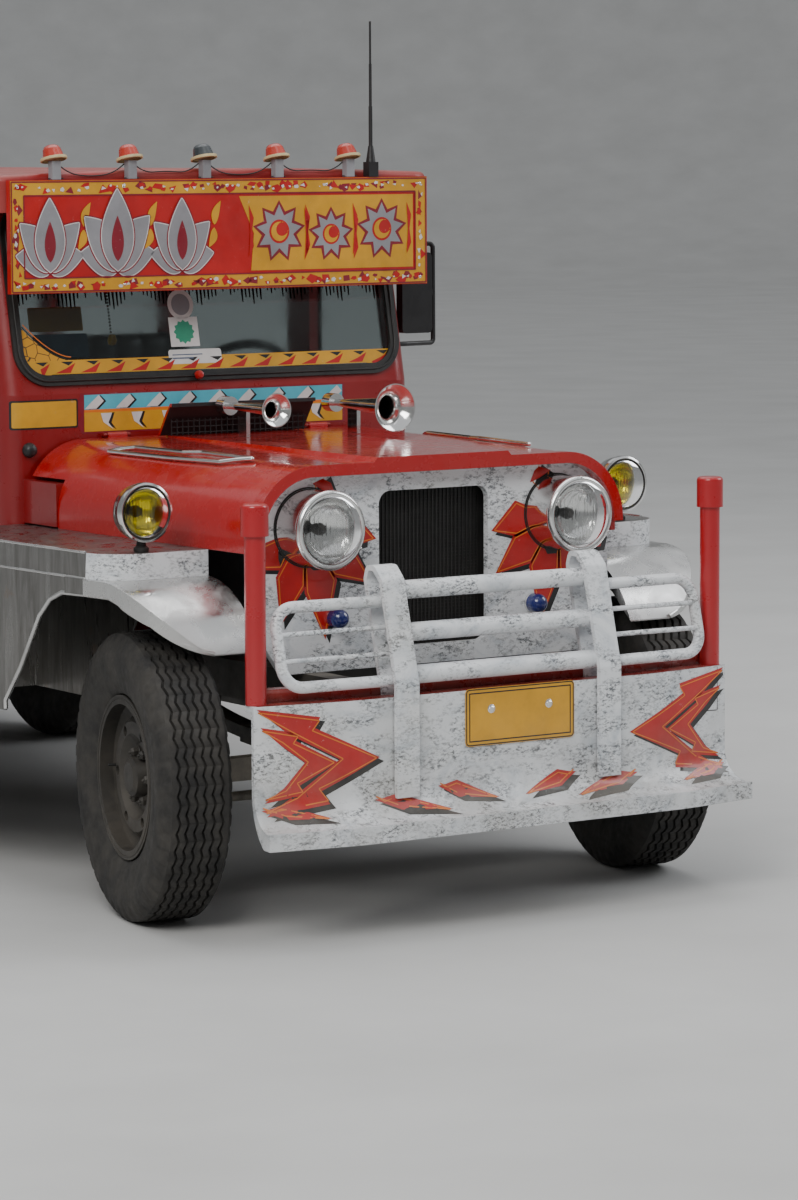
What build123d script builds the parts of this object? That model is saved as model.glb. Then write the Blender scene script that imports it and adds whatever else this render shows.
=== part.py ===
from build123d import *
import os
from math import cos, radians, sin, sqrt, tan

# Jeepney, in millimetres. X is across (plus X is the vehicle's left), Y is along it (the nose
# points to minus Y), Z is up from the ground. A station is a distance behind the front axle.

# Overall
FRONT_AXLE_Y = -2375.0
WHEELBASE = 3200.0
FLOOR_TOP = 660.0
FLOOR_THICK = 18.0
WALL = 38.0
BODY_TOP = 1862.0

# Wheels and axles
TYRE_R = 372.5
TYRE_WIDTH = 195.0
TREAD_WIDTH = 150.0
TYRE_WALL = 12.0
BEAD_SEAT_R = 195.0
RIM_FLANGE_R = 212.0
RIM_WIDTH = 156.0
RIM_WALL = 6.0
HUB_BORE_R = 20.05
SPINDLE_R = 20.0
DRUM_R = 138.0
TRACK = 1500.0
KINGPIN_X = 650.0
KINGPIN_R = 15.0
REST_STEER = -11.0
STEER_ARM = 140.0
ARM_INSET = 30.0
TIE_ROD_Z = 275.0
TIE_ROD_R = 13.0
SPRING_X = 375.0
SPRING_WIDTH = 56.0
LEAF = 11.0
REAR_TUBE_R = 45.0
FRONT_SPRING = 380.0
REAR_SPRING = 520.0
FRONT_SEAT_Z = TYRE_R + 38 + 3 * LEAF
REAR_SEAT_Z = TYRE_R + REAR_TUBE_R + 12 + 3 * LEAF
EYE_Z = 488.0
EYE_PIN_R = 9.0
GEARBOX_Z = 535.0
GEARBOX_END = 1420.0
DIFF_REACH = 222.0

# Chassis
RAIL_X = 375.0
RAIL_WIDTH = 60.0
RAIL_Z0 = 530.0
RAIL_HEIGHT = 100.0
RAIL_FRONT = -425.0
RAIL_REAR = 5060.0
RAIL_WALL = 6.0
CROSS_HALF = RAIL_X + RAIL_WIDTH / 2 - RAIL_WALL + 1
CROSS_STATIONS = (-385.0, 1900.0, 2560.0, 3840.0, 4440.0, 5010.0)

# Hood and grille
HOOD_FRONT = -215.0
HOOD_REAR = 915.0
HOOD_FRONT_HALF = 580.0
HOOD_REAR_HALF = 620.0
HOOD_FRONT_TOP = 1168.0
HOOD_REAR_TOP = 1176.0
HOOD_CORNER_R = 185.0
HOOD_SKIRT_Z = 948.0
HOOD_SKIN = 14.0
HINGE_X = 330.0
HINGE_HALF = 30.0
HINGE_Z = HOOD_REAR_TOP + 7
HINGE_R = 7.0
HINGE_PIN_R = 4.0
HINGE_PLAY = 0.7
EAR_R = 5.0
EAR_THICK = 8.0
HOOD_BAND_HALF = 205.0
HOOD_BAND_RISE = 12.0
TRIM_R = 6.0
TRIM_GAP = 1.2
VENT_FOOT = 852.0
VENT_HALF = 235.0
VENT_RISE = 92.0
LIP_DEPTH = 42.0
LIP_THICK = 30.0
LIP_END_Z = 976.0
GRILLE_STATION = -170.0
GRILLE_THICK = 22.0
GRILLE_HALF = 562.0
GRILLE_BOTTOM = 630.3
INLET_HALF = 172.0
INLET_TOP = 1088.0
INLET_BOTTOM = 680.0

# Lamps on the nose
HEADLAMP_X = 390.0
HEADLAMP_Z = 1006.0
HEADLAMP_LENS_R = 89.0
HEADLAMP_BUCKET_R = 100.0
HEADLAMP_REACH = 118.0
TURN_LAMP_X = 313.0
TURN_LAMP_Z = 768.0
TURN_LAMP_R = 26.0
FOG_X = 757.0
FOG_STATION = 40.0
FOG_Z = 1050.0
FOG_R = 77.0

# Fenders
FENDER_TOP = 948.0
FENDER_SEAM = 880.0
FENDER_SKIN = 6.0
FENDER_INNER = 585.0
FENDER_OUTER_FRONT = 880.0
FENDER_OUTER_REAR = 925.0
FENDER_REAR = 929.7
NOSE_TIP_STATION = -245.0
NOSE_TIP_Z = 700.0
NOSE_CORNER = 200.0
BOX_CORNER = 110.0
ARCH_FLOOR = 500.0

# Bumper and bull bar
BUMPER_STATION = -500.0
BUMPER_HALF = 735.0
BUMPER_TOP = 600.0
BUMPER_SWEEP = 40.0
BUMPER_SKIN = 16.0
BUMPER_KNEE = 500.0
BUMPER_FLANGE = 56.0
PLATE_X = 40.0
PLATE_PITCH = 180.0
PLATE_HOLE_Z = 548.0
PLATE_HOLE_R = 4.0
LIP_BOTTOM = 252.0
LIP_FRONT = -600.0
BAR_TUBE_R = 24.0
BAR_HEIGHTS = (650.0, 755.0, 860.0)
BAR_SLOPE = 0.26
HOOP_X = 315.0
HOOP_WIDTH = 68.0
HOOP_THICK = 14.0
HOOP_TOP = 918.0
HOOP_BOTTOM = 345.0
LOOP_TUBE_R = 15.0
LOOP_HALF = 650.0
LOOP_ROD_R = 6.5
POST_X = 708.0
POST_R = 26.5
POST_CAP_R = 35.0
POST_TOP = 1095.0

# Cowl, windscreen and sign
COWL_STATION = 930.0
COWL_HALF = 666.0
COWL_WALL = 36.0
COWL_REAR = 1000.0
COWL_BOTTOM = 630.3
RAKE = 12.0
RAKE_Z = 1300.0
GLASS_BOTTOM = 1322.0
GLASS_TOP = BODY_TOP - 32
GASKET_HALF = 632.0
GASKET_WIDTH = 30.0
GASKET_PROUD = 9.0
GLASS_CORNER_R = 100.0
GLASS_THICK = 6.0
SIGN_HALF = 680.0
SIGN_Z1 = BODY_TOP + 26
SIGN_Z0 = SIGN_Z1 - 308
SIGN_BOW = 14.0
SIGN_THICK = 18.0
ROOF_LAMP_PITCH = 238.0
ROOF_LAMP_MID = -60.0
ANTENNA_X = 492.0

# Body
BODY_HALF = 920.0
FLARE_END = 1420.0
BODY_REAR = 5100.0
BODY_BOTTOM = 500.0
ROOF_FRONT = 892.0
ROOF_REAR = 5200.0
ROOF_HALF = 945.0
ROOF_FRONT_HALF = 694.0
ROOF_RIM_Z = BODY_TOP - 62
ROOF_EDGE_Z = BODY_TOP + 26
ROOF_CROWN_Z = BODY_TOP + 54
ROOF_BASE_Z = BODY_TOP - 162
ROOF_WALL = 20.0
SILL_Z = 1225.0
WINDOW_TOP = BODY_TOP - 157
WINDOW_R = 60.0
WINDOWS = ((1960.0, 2690.0), (2770.0, 3500.0), (3580.0, 4310.0), (4390.0, 4980.0))
DOOR_FRONT = 1120.0
DOOR_REAR = 1830.0
DOOR_SILL = 690.0
DOOR_TOP = BODY_TOP - 127
CAB_REAR = 1890.0
WAIST_Z = SILL_Z - 30
ENTRY_HALF = 360.0
ENTRY_TOP = BODY_TOP - 72
ARCH_R = 440.0
REAR_WINDOW_X = BODY_HALF - 280
REAR_WINDOW_WIDTH = 340.0

# Floor beams as (station, half length), and the inner edge of the rear wheel wells
BEAM_HALF = BODY_HALF - 130
FLOOR_BEAMS = ((1300.0, BEAM_HALF - 90), (1850.0, BEAM_HALF), (2700.0, BEAM_HALF), (3200.0, BEAM_HALF - 200),
               (3700.0, BEAM_HALF), (4300.0, BEAM_HALF), (4980.0, BEAM_HALF))
WHEEL_WELL_X = 600.0

# Seats
BENCH_INNER = 470.0
BENCH_FRONT = 2330.0
BENCH_REAR = 4990.0
BENCH_TOP = 1000.0
BENCH_BOARD = 20.0
CUSHION = 70.0
SEAT_GAP = 0.4

# Hand rails under the roof
HAND_RAIL_X = 330.0
HAND_RAIL_R = 13.0
HAND_RAIL_Z = BODY_TOP - 72
HAND_RAIL_SEAT = BODY_TOP + 28

# Fuel tank
TANK_X0 = RAIL_X + 105
TANK_X1 = BODY_HALF - 60
TANK_REAR = WHEELBASE - 580
TANK_LENGTH = 570.0
TANK_Z0 = 380.0
TANK_Z1 = 600.0
STRAP = 4.0

# Rear step and running boards
STEP_HALF = BODY_HALF - 300
STEP_TOP = 418.0
STEP_THICK = 18.0
STEP_REAR = BODY_REAR + 250
STEP_LIP = 10.0
BOARD_TOP = 396.0
BOARD_THICK = 16.0
BOARD_WIDTH = 200.0

# Dashboard, steering wheel and pedals
DASH_HALF = COWL_HALF - 64
DASH_BOTTOM = 1090.0
DASH_TOP = DASH_BOTTOM + 180
DASH_REAR = COWL_STATION + 260
DASH_R = 45.0
PEDAL_X = (190.0, 285.0, 455.0)
WHEEL_X = 370.0
WHEEL_STATION = 1480.0
WHEEL_Z = 1235.0
WHEEL_R = 205.0
WHEEL_RIM_R = 13.0
COLUMN_TILT = 38.0


def st(station):
    """The Y of a station behind the front axle."""
    return FRONT_AXLE_Y + station


def span(x0, x1, s0, s1, z0, z1):
    """A box between two limits across, along and up."""
    size = Box(abs(x1 - x0), abs(s1 - s0), abs(z1 - z0))
    return Pos((x0 + x1) / 2, st((s0 + s1) / 2), (z0 + z1) / 2) * size


def along(axis, length, r, x, s, z):
    """A cylinder along X, Y or Z, centred on a point."""
    turn = {"X": Rot(0, 90, 0), "Y": Rot(90, 0, 0), "Z": Rot(0, 0, 0)}[axis]
    return Pos(x, st(s), z) * turn * Cylinder(r, length)


def mirrored(shape):
    """The same shape on the vehicle's right side."""
    return mirror(shape, about=Plane.YZ)


def both(shape):
    """One shape on each side, as two solids."""
    return Compound(list(shape.solids()) + list(mirrored(shape).solids()))


def side_prism(points, x0, x1):
    """A prism across the vehicle from an outline of (station, height) points."""
    outline = Polyline(*[(st(s), z) for s, z in points], close=True)
    face = make_face(outline)
    return Plane.YZ.offset(x0) * extrude(face, x1 - x0)


def side_window(s0, s1, z0, z1, r, x0, x1):
    """A prism across the vehicle with rounded corners, for a window or a door opening."""
    face = Pos(st((s0 + s1) / 2), (z0 + z1) / 2) * RectangleRounded(s1 - s0, z1 - z0, r)
    return Plane.YZ.offset(x0) * extrude(face, x1 - x0)


def dome(r, y_edge, y_top):
    """A lens's profile in the plane of the axis Y: an arc whose centre is on the axis."""
    height = abs(y_top - y_edge)
    ball = (r * r + height * height) / (2 * height)
    way = 1 if y_top > y_edge else -1
    centre = y_top - way * ball
    x = r / 2
    return ThreePointArc((r, y_edge), (x, centre + way * sqrt(ball * ball - x * x)), (0, y_top))


def tube(points, radius, bend):
    """A round bar along (x, station, z) points, with one bend radius at every corner."""
    path = FilletPolyline(*[(x, st(s), z) for x, s, z in points], radius=bend)
    section = Plane(path @ 0, z_dir=path % 0) * Circle(radius)
    return sweep(section, path)


# Wheels are drawn about a hub centre at the origin, with the outboard side towards plus X


def tyre():
    half = TYRE_WIDTH / 2
    tread = TREAD_WIDTH / 2
    bead = RIM_WIDTH / 2 - RIM_WALL - 0.3
    flange = RIM_FLANGE_R + 3
    belt = TYRE_R - 20
    inner = half - TYRE_WALL
    with BuildSketch(Plane.XY) as section:
        with BuildLine():
            Polyline((-tread, TYRE_R), (tread, TYRE_R), (half - 9, belt))
            ThreePointArc((half - 9, belt), (half, 290), (bead, flange))
            Polyline((bead, flange), (bead, BEAD_SEAT_R), (bead - 20, BEAD_SEAT_R))
            ThreePointArc((bead - 20, BEAD_SEAT_R), (inner, 285), (inner - 9, belt - TYRE_WALL))
            Polyline((inner - 9, belt - TYRE_WALL), (tread - 10, TYRE_R - 16), (10 - tread, TYRE_R - 16),
                     (9 - inner, belt - TYRE_WALL))
            ThreePointArc((9 - inner, belt - TYRE_WALL), (-inner, 285), (20 - bead, BEAD_SEAT_R))
            Polyline((20 - bead, BEAD_SEAT_R), (-bead, BEAD_SEAT_R), (-bead, flange))
            ThreePointArc((-bead, flange), (-half, 290), (9 - half, belt))
            Line((9 - half, belt), (-tread, TYRE_R))
        make_face()
    return revolve(section.sketch, Axis.X)


def rim():
    half = RIM_WIDTH / 2
    seat = BEAD_SEAT_R - 0.3
    drop = seat - 26
    under = drop - RIM_WALL
    cap = 24
    hub_end = -38
    disc_low = 112
    disc_high = 142
    tyre_side = [(-half, RIM_FLANGE_R), (RIM_WALL - half, RIM_FLANGE_R), (RIM_WALL - half, seat), (-38, seat),
                 (-24, drop), (24, drop), (38, seat), (half - RIM_WALL, seat), (half - RIM_WALL, RIM_FLANGE_R),
                 (half, RIM_FLANGE_R), (half, seat - RIM_WALL), (41, seat - RIM_WALL), (27, under)]
    disc_face = [(50, disc_high), (50, disc_low), (cap, 86), (cap, 54), (56, 50), (64, 38), (64, 0), (cap, 0)]
    disc_back = [(cap, HUB_BORE_R), (hub_end, HUB_BORE_R), (hub_end, 62), (14, 88), (40, disc_low - 2),
                 (40, disc_high), (20, under), (-27, under), (-41, seat - RIM_WALL), (-half, seat - RIM_WALL)]
    solid = revolve(make_face(Polyline(*(tyre_side + disc_face + disc_back), close=True)), Axis.X)
    hand_hole = Pos(45, 0, (disc_low + disc_high) / 2) * Rot(0, 90, 0) * Cylinder(13, 60)
    for k in range(6):
        solid -= Rot(60 * k + 30, 0, 0) * hand_hole
    return solid


def place_wheel(shape, side, station, x=TRACK / 2):
    """Puts a wheel drawn at the origin on its axle, on the left (side 1) or the right (side -1)."""
    placed = shape if side > 0 else mirror(shape, about=Plane.YZ)
    return Pos(side * x, st(station), TYRE_R) * placed


def steered(shape, side):
    """Turns a front wheel or knuckle about its kingpin to where the parked steering rests."""
    pin = Pos(side * KINGPIN_X, st(0), 0)
    return pin * Rot(0, 0, REST_STEER) * pin.inverse() * shape


# Front axle parts are drawn on the left side, straight ahead


def knuckle():
    lug_gap = 34
    lug = 22
    pin = along("Z", 130, KINGPIN_R, KINGPIN_X, 0, TYRE_R)
    lugs = [along("Z", lug, 30, KINGPIN_X, 0, TYRE_R + k * (lug_gap + lug / 2 + 0.4)) for k in (-1, 1)]
    web = span(KINGPIN_X + 38, KINGPIN_X + 54, -28, 28, TYRE_R - lug_gap - lug, TYRE_R + lug_gap + lug)
    arms = [span(KINGPIN_X, KINGPIN_X + 50, -22, 22, TYRE_R + k * (lug_gap + 0.4), TYRE_R + k * (lug_gap + lug))
            for k in (-1, 1)]
    spindle = along("X", 66, SPINDLE_R, KINGPIN_X + 54 + 31, 0, TYRE_R)
    plate = along("X", 5, DRUM_R, KINGPIN_X + 46, 0, TYRE_R) - along("X", 20, 40, KINGPIN_X + 46, 0, TYRE_R)
    plate += span(KINGPIN_X + 43.5, KINGPIN_X + 48.5, -45, 45, TYRE_R - 45, TYRE_R + 45)
    low = TYRE_R - lug_gap - lug
    arm_x = KINGPIN_X - ARM_INSET
    arm = span(arm_x - 14, arm_x + 18, 0, STEER_ARM, TIE_ROD_Z + TIE_ROD_R + 7, low)
    arm += along("Z", 24, 20, arm_x, STEER_ARM, TIE_ROD_Z + TIE_ROD_R + 19)
    return pin + lugs + web + arms + spindle + plate + arm


def front_axle():
    beam_height = 60
    beam = span(-KINGPIN_X, KINGPIN_X, -24, 24, TYRE_R - beam_height / 2, TYRE_R + beam_height / 2)
    for side in (-1, 1):
        beam += along("Z", 68, 32, side * KINGPIN_X, 0, TYRE_R)
        beam += span(side * (SPRING_X - 38), side * (SPRING_X + 38), -60, 60, TYRE_R + 20, TYRE_R + 38)
        beam -= along("Z", 90, KINGPIN_R + 0.05, side * KINGPIN_X, 0, TYRE_R)
        beam -= span(side * (KINGPIN_X + 33), side * (KINGPIN_X + 60), -40, 40, TYRE_R - 60, TYRE_R + 60)
    return beam


def tie_rod():
    """The rod between the two steering arms, drawn where the parked steering holds it."""
    angle = radians(REST_STEER)
    shift = -STEER_ARM * sin(angle)
    back = STEER_ARM * cos(angle)
    end_x = KINGPIN_X - ARM_INSET
    rod = along("X", 2 * end_x, TIE_ROD_R, shift, back, TIE_ROD_Z)
    for side in (-1, 1):
        rod += along("Z", 26, 19, shift + side * end_x, back, TIE_ROD_Z + TIE_ROD_R - 6.4)
    return rod


def leaf_spring(half_length, seat_z, eye_z, station):
    """Four leaves as arcs; the longest has an eye at each end."""
    pack = None
    for k in range(4):
        reach = half_length * (1 - 0.2 * k)
        drop = k * LEAF
        rise = (eye_z - seat_z) * (reach / half_length) ** 2
        low = ThreePointArc((-reach, seat_z + rise - drop), (0, seat_z - drop), (reach, seat_z + rise - drop))
        high = ThreePointArc((reach, seat_z + rise - drop + LEAF), (0, seat_z - drop + LEAF),
                             (-reach, seat_z + rise - drop + LEAF))
        ends = [Line(low @ 1, high @ 0), Line(high @ 1, low @ 0)]
        leaf = extrude(make_face([low, ends[0], high, ends[1]]), SPRING_WIDTH)
        pack = leaf if pack is None else pack + leaf
    for k in (-1, 1):
        pack += Pos(k * half_length, eye_z + 4, SPRING_WIDTH / 2) * Cylinder(17, SPRING_WIDTH)
        pack -= Pos(k * half_length, eye_z + 4, SPRING_WIDTH / 2) * Cylinder(EYE_PIN_R + 0.2, SPRING_WIDTH + 10)
    return Plane((SPRING_X - SPRING_WIDTH / 2, st(station), 0), x_dir=(0, 1, 0), z_dir=(1, 0, 0)) * pack


def leaf_springs():
    front = leaf_spring(FRONT_SPRING, FRONT_SEAT_Z, EYE_Z, 0)
    rear = leaf_spring(REAR_SPRING, REAR_SEAT_Z, EYE_Z, WHEELBASE)
    return Compound(list(both(front).solids()) + list(both(rear).solids()))


def rear_axle():
    hub = TRACK / 2 - 60
    axle = along("X", 2 * hub, REAR_TUBE_R, 0, WHEELBASE, TYRE_R)
    axle += Pos(0, st(WHEELBASE), TYRE_R) * Sphere(142)
    axle += along("Y", 122, 48, 0, WHEELBASE - DIFF_REACH + 61, TYRE_R)
    for side in (-1, 1):
        axle += span(side * (SPRING_X - 36), side * (SPRING_X + 36), WHEELBASE - 70, WHEELBASE + 70,
                     TYRE_R, TYRE_R + REAR_TUBE_R + 12)
        axle += along("X", 6, DRUM_R, side * (hub - 3), WHEELBASE, TYRE_R)
        axle += along("X", 72, SPINDLE_R, side * (hub + 35), WHEELBASE, TYRE_R)
    return axle


def chassis_frame():
    frame = None
    for side in (-1, 1):
        x0 = side * (RAIL_X - RAIL_WIDTH / 2)
        x1 = side * (RAIL_X + RAIL_WIDTH / 2)
        rail = span(x0, x1, RAIL_FRONT, RAIL_REAR, RAIL_Z0, RAIL_Z0 + RAIL_HEIGHT)
        hollow = span(x0 - side * 1, x1 - side * RAIL_WALL, RAIL_FRONT - 1, RAIL_REAR + 1,
                      RAIL_Z0 + RAIL_WALL, RAIL_Z0 + RAIL_HEIGHT - RAIL_WALL)
        rail -= hollow
        for station, half in ((0, FRONT_SPRING), (WHEELBASE, REAR_SPRING)):
            for end in (-1, 1):
                s = station + end * half
                for wing in (-1, 1):
                    x = side * RAIL_X + wing * (SPRING_WIDTH / 2 + 5)
                    rail += span(x - 4, x + 4, s - 26, s + 26, EYE_Z - 22, RAIL_Z0 + 2)
                rail += along("X", SPRING_WIDTH + 14, EYE_PIN_R, side * RAIL_X, s, EYE_Z + 4)
        frame = rail if frame is None else frame + rail
    for s in CROSS_STATIONS:
        bar = span(-CROSS_HALF, CROSS_HALF, s - 30, s + 30, RAIL_Z0 + 10, RAIL_Z0 + 90)
        bar -= span(10 - CROSS_HALF, CROSS_HALF - 10, s - 24, s + 40, RAIL_Z0 + 16, RAIL_Z0 + 84)
        frame += bar
    return frame


def prop_shaft():
    start = GEARBOX_END
    end = WHEELBASE - DIFF_REACH
    rise = GEARBOX_Z - TYRE_R
    length = sqrt((end - start) ** 2 + rise ** 2)
    lean = Plane((0, st((start + end) / 2), (GEARBOX_Z + TYRE_R) / 2), x_dir=(1, 0, 0), z_dir=(0, end - start, -rise))
    shaft = lean * Cylinder(34, length - 120)
    for k in (-1, 1):
        shaft += lean * (Pos(0, 0, k * (length / 2 - 45)) * Cylinder(22, 106))
        shaft += lean * (Pos(0, 0, k * (length / 2 - 30)) * Box(84, 26, 26))
        shaft += lean * (Pos(0, 0, k * (length / 2 - 30)) * Box(26, 84, 26))
    return shaft & span(-60, 60, start + 0.3, end - 0.3, 200, 700)


def engine_block():
    block = span(-230, 230, 60, 740, 470, 1040)
    gearbox = span(-130, 130, 740, 1180, 450, 622)
    tail = along("Y", GEARBOX_END - 1179, 58, 0, (1179 + GEARBOX_END) / 2, GEARBOX_Z)
    feet = span(-RAIL_X - 15, RAIL_X + 15, 300, 350, RAIL_Z0 + RAIL_HEIGHT + 0.3, RAIL_Z0 + RAIL_HEIGHT + 20)
    return block + gearbox + tail + feet


def radiator():
    core = span(-270, 270, -120, -60, 640, 1100)
    core += span(-RAIL_X, RAIL_X, -110, -70, RAIL_Z0 + RAIL_HEIGHT + 0.3, 660)
    tank = fillet(span(-270, 270, -135, -45, 1085, 1125).edges().filter_by(Axis.X), 14)
    return core + tank


def exhaust():
    pipe = tube([(232, 690, 500), (300, 690, 500), (500, 900, 470), (500, 1720, 455)], 25, 70)
    muffler = fillet(along("Y", 420, 75, 500, 1920, 455).edges(), 12)
    tail = tube([(500, 2120, 455), (500, 2330, 455), (640, 2500, 430), (900, 2560, 400)], 22, 80)
    hanger = span(RAIL_X + RAIL_WIDTH / 2 + 0.3, 500, 1910, 1940, 500, 560)
    return pipe + muffler + tail + hanger


def fuel_tank():
    front = TANK_REAR - TANK_LENGTH
    tank = fillet(span(-TANK_X1, -TANK_X0, front, TANK_REAR, TANK_Z0, TANK_Z1).edges().filter_by(Axis.Y), 40)
    for s in (front + 130, TANK_REAR - 130):
        tank += span(-TANK_X1 - STRAP, -TANK_X0 + STRAP, s - 15, s + 15, TANK_Z0 - STRAP, TANK_Z1 + STRAP)
        tank += span(-TANK_X0, -RAIL_X - RAIL_WIDTH / 2 - 0.3, s - 15, s + 15, TANK_Z1 - 40, TANK_Z1 + STRAP)
    return tank


# Front end


def bumper_section():
    """The apron's profile: a flat front with a top flange and a lip that flares forward."""
    t = BUMPER_SKIN
    front = st(BUMPER_STATION)
    lip = st(LIP_FRONT)
    back = front + BUMPER_FLANGE
    with BuildSketch(Plane.YZ) as section:
        with BuildLine():
            Polyline((back, BUMPER_TOP), (front, BUMPER_TOP), (front, 380))
            ThreePointArc((front, 380), (front - 26, 320), (lip, 296))
            Polyline((lip, 296), (lip, LIP_BOTTOM), (lip + 40, LIP_BOTTOM))
            ThreePointArc((lip + 40, LIP_BOTTOM), (front - 16, 290), (front + t, 370))
            Polyline((front + t, 370), (front + t, BUMPER_TOP - t), (back, BUMPER_TOP - t), (back, BUMPER_TOP))
        make_face()
    return section.sketch


def front_bumper():
    """The apron: straight across the middle, with its ends swept back."""
    front = st(BUMPER_STATION)
    path = FilletPolyline((0, front, 0), (BUMPER_KNEE, front, 0), (BUMPER_HALF, front + BUMPER_SWEEP, 0), radius=600)
    left = sweep(bumper_section(), path)
    bumper = left + mirrored(left)
    for side in (-1, 1):
        x = side * RAIL_X
        bumper += span(x - 25, x + 25, BUMPER_STATION + BUMPER_SKIN - 1, RAIL_FRONT - 0.3, RAIL_Z0 + 12, 590)
        bumper -= along("Y", 60, PLATE_HOLE_R, PLATE_X + side * PLATE_PITCH / 2, BUMPER_STATION + 8, PLATE_HOLE_Z)
    return bumper


def bar_station(z):
    """The bull bar leans back with height."""
    return BUMPER_STATION + 22 + BAR_SLOPE * (z - 650)


def hoop():
    """A flat strap bent over the tubes: a front leg that drops to the apron and a rear leg."""
    to_leg = BAR_TUBE_R + HOOP_THICK / 2 - 2
    low = BAR_HEIGHTS[0] - 20
    front = [(bar_station(low) - to_leg, HOOP_BOTTOM), (bar_station(low) - to_leg, low),
             (bar_station(HOOP_TOP - 30) - to_leg, HOOP_TOP - 30), (bar_station(HOOP_TOP) - to_leg + 24, HOOP_TOP)]
    rear = [(bar_station(HOOP_TOP) + 24, HOOP_TOP), (bar_station(HOOP_TOP - 30) + 42, HOOP_TOP - 30),
            (bar_station(BUMPER_TOP) + 42, BUMPER_TOP - 5)]
    path = FilletPolyline(*[(HOOP_X, st(s), z) for s, z in front + rear], radius=14)
    section = Plane(path @ 0, x_dir=(1, 0, 0), z_dir=path % 0) * Rectangle(HOOP_WIDTH, HOOP_THICK)
    return sweep(section, path)


def side_loop():
    low = BAR_HEIGHTS[0] - 10
    high = BAR_HEIGHTS[2] - 24
    inner = HOOP_X + 10
    corner = 55
    points = [(inner, bar_station(low), low), (LOOP_HALF, bar_station(low) + 12, low),
              (LOOP_HALF, bar_station(high) + 12, high), (inner, bar_station(high), high)]
    loop = tube(points, LOOP_TUBE_R, corner)
    for k in (1, 2):
        z = low + k * (high - low) / 3
        loop += Pos((inner + LOOP_HALF) / 2, st(bar_station(z) + 6), z) * Rot(0, 90, 0) * Cylinder(
            LOOP_ROD_R, LOOP_HALF - inner)
    return loop


def bull_bar():
    bar = None
    for z in BAR_HEIGHTS:
        piece = along("X", 2 * HOOP_X + 20, BAR_TUBE_R, 0, bar_station(z), z)
        bar = piece if bar is None else bar + piece
    for shape in (hoop(), side_loop()):
        bar += shape
        bar += mirrored(shape)
    bar -= front_bumper()
    below_flange = span(-BUMPER_HALF, BUMPER_HALF, BUMPER_STATION, BUMPER_STATION + 90, 500, BUMPER_TOP + 0.3)
    return bar - below_flange


def bumper_posts():
    post = along("Z", POST_TOP - BUMPER_TOP, POST_R, POST_X, BUMPER_STATION + 38 + 34, (POST_TOP + BUMPER_TOP) / 2)
    cap = along("Z", 80, POST_CAP_R, POST_X, BUMPER_STATION + 38 + 34, POST_TOP - 34)
    cap = fillet(cap.edges().group_by(Axis.Z)[-1], 10)
    return both(post + cap)


def hood_ring(half, top, skirt_z, inset, thick):
    """A closed band over the hood: its outside is inset from the hood's own outside."""
    outer_r = HOOD_CORNER_R - inset
    inner_r = HOOD_CORNER_R - inset - thick
    flat = half - HOOD_CORNER_R
    z_out = top - inset
    z_in = top - inset - thick
    centre = top - HOOD_CORNER_R
    with BuildSketch(Plane.XZ) as section:
        with BuildLine():
            Line((0, z_out), (flat, z_out))
            CenterArc((flat, centre), outer_r, 0, 90)
            Line((flat + outer_r, centre), (flat + outer_r, skirt_z))
            Line((flat + outer_r, skirt_z), (flat + inner_r, skirt_z))
            Line((flat + inner_r, skirt_z), (flat + inner_r, centre))
            CenterArc((flat, centre), inner_r, 0, 90)
            Line((flat, z_in), (0, z_in))
            Line((0, z_in), (0, z_out))
        make_face()
    return section.sketch


def hood():
    front = Pos(0, st(HOOD_FRONT + 6), 0) * hood_ring(HOOD_FRONT_HALF, HOOD_FRONT_TOP, HOOD_SKIRT_Z, 3, HOOD_SKIN)
    rear = Pos(0, st(HOOD_REAR), 0) * hood_ring(HOOD_REAR_HALF, HOOD_REAR_TOP, HOOD_SKIRT_Z, 0, HOOD_SKIN)
    shell = loft([front, rear], ruled=True)
    shell -= span(-20, 800, 744, HOOD_REAR + 40, 900, HOOD_REAR_TOP - 96)
    lip_ring = hood_ring(HOOD_FRONT_HALF, HOOD_FRONT_TOP, LIP_END_Z, 0, LIP_THICK)
    lip = Pos(0, st(HOOD_FRONT), 0) * extrude(lip_ring, -LIP_DEPTH)
    shell -= span(-20, 800, HOOD_FRONT - 20, HOOD_FRONT + LIP_DEPTH - 8, 900, LIP_END_Z)
    left = shell + lip
    whole = left + mirrored(left)
    ramp = 14
    band_points = [(-HOOD_BAND_HALF - ramp, HOOD_FRONT_TOP - 4), (-HOOD_BAND_HALF, HOOD_FRONT_TOP + HOOD_BAND_RISE),
                   (HOOD_BAND_HALF, HOOD_FRONT_TOP + HOOD_BAND_RISE), (HOOD_BAND_HALF + ramp, HOOD_FRONT_TOP - 4)]
    rear_rise = HOOD_REAR_TOP - HOOD_FRONT_TOP - HOOD_BAND_RISE + 3
    band_front = Plane.XZ.offset(-st(HOOD_FRONT)) * make_face(Polyline(*band_points, close=True))
    band_rear_points = [(x, z + rear_rise) for x, z in band_points]
    band_rear = Plane.XZ.offset(-st(HOOD_REAR - 60)) * make_face(Polyline(*band_rear_points, close=True))
    whole += loft([band_front, band_rear], ruled=True)
    for x in (-HINGE_X, HINGE_X):
        whole += along("X", 2 * HINGE_HALF, HINGE_R, x, HOOD_REAR, HINGE_Z)
        whole += span(x - HINGE_HALF, x + HINGE_HALF, HOOD_REAR - 9, HOOD_REAR, HOOD_REAR_TOP - 6, HINGE_Z - 1)
        whole -= along("X", 2 * HINGE_HALF + 10, HINGE_PIN_R + HINGE_PLAY, x, HOOD_REAR, HINGE_Z)
    return whole


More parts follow.
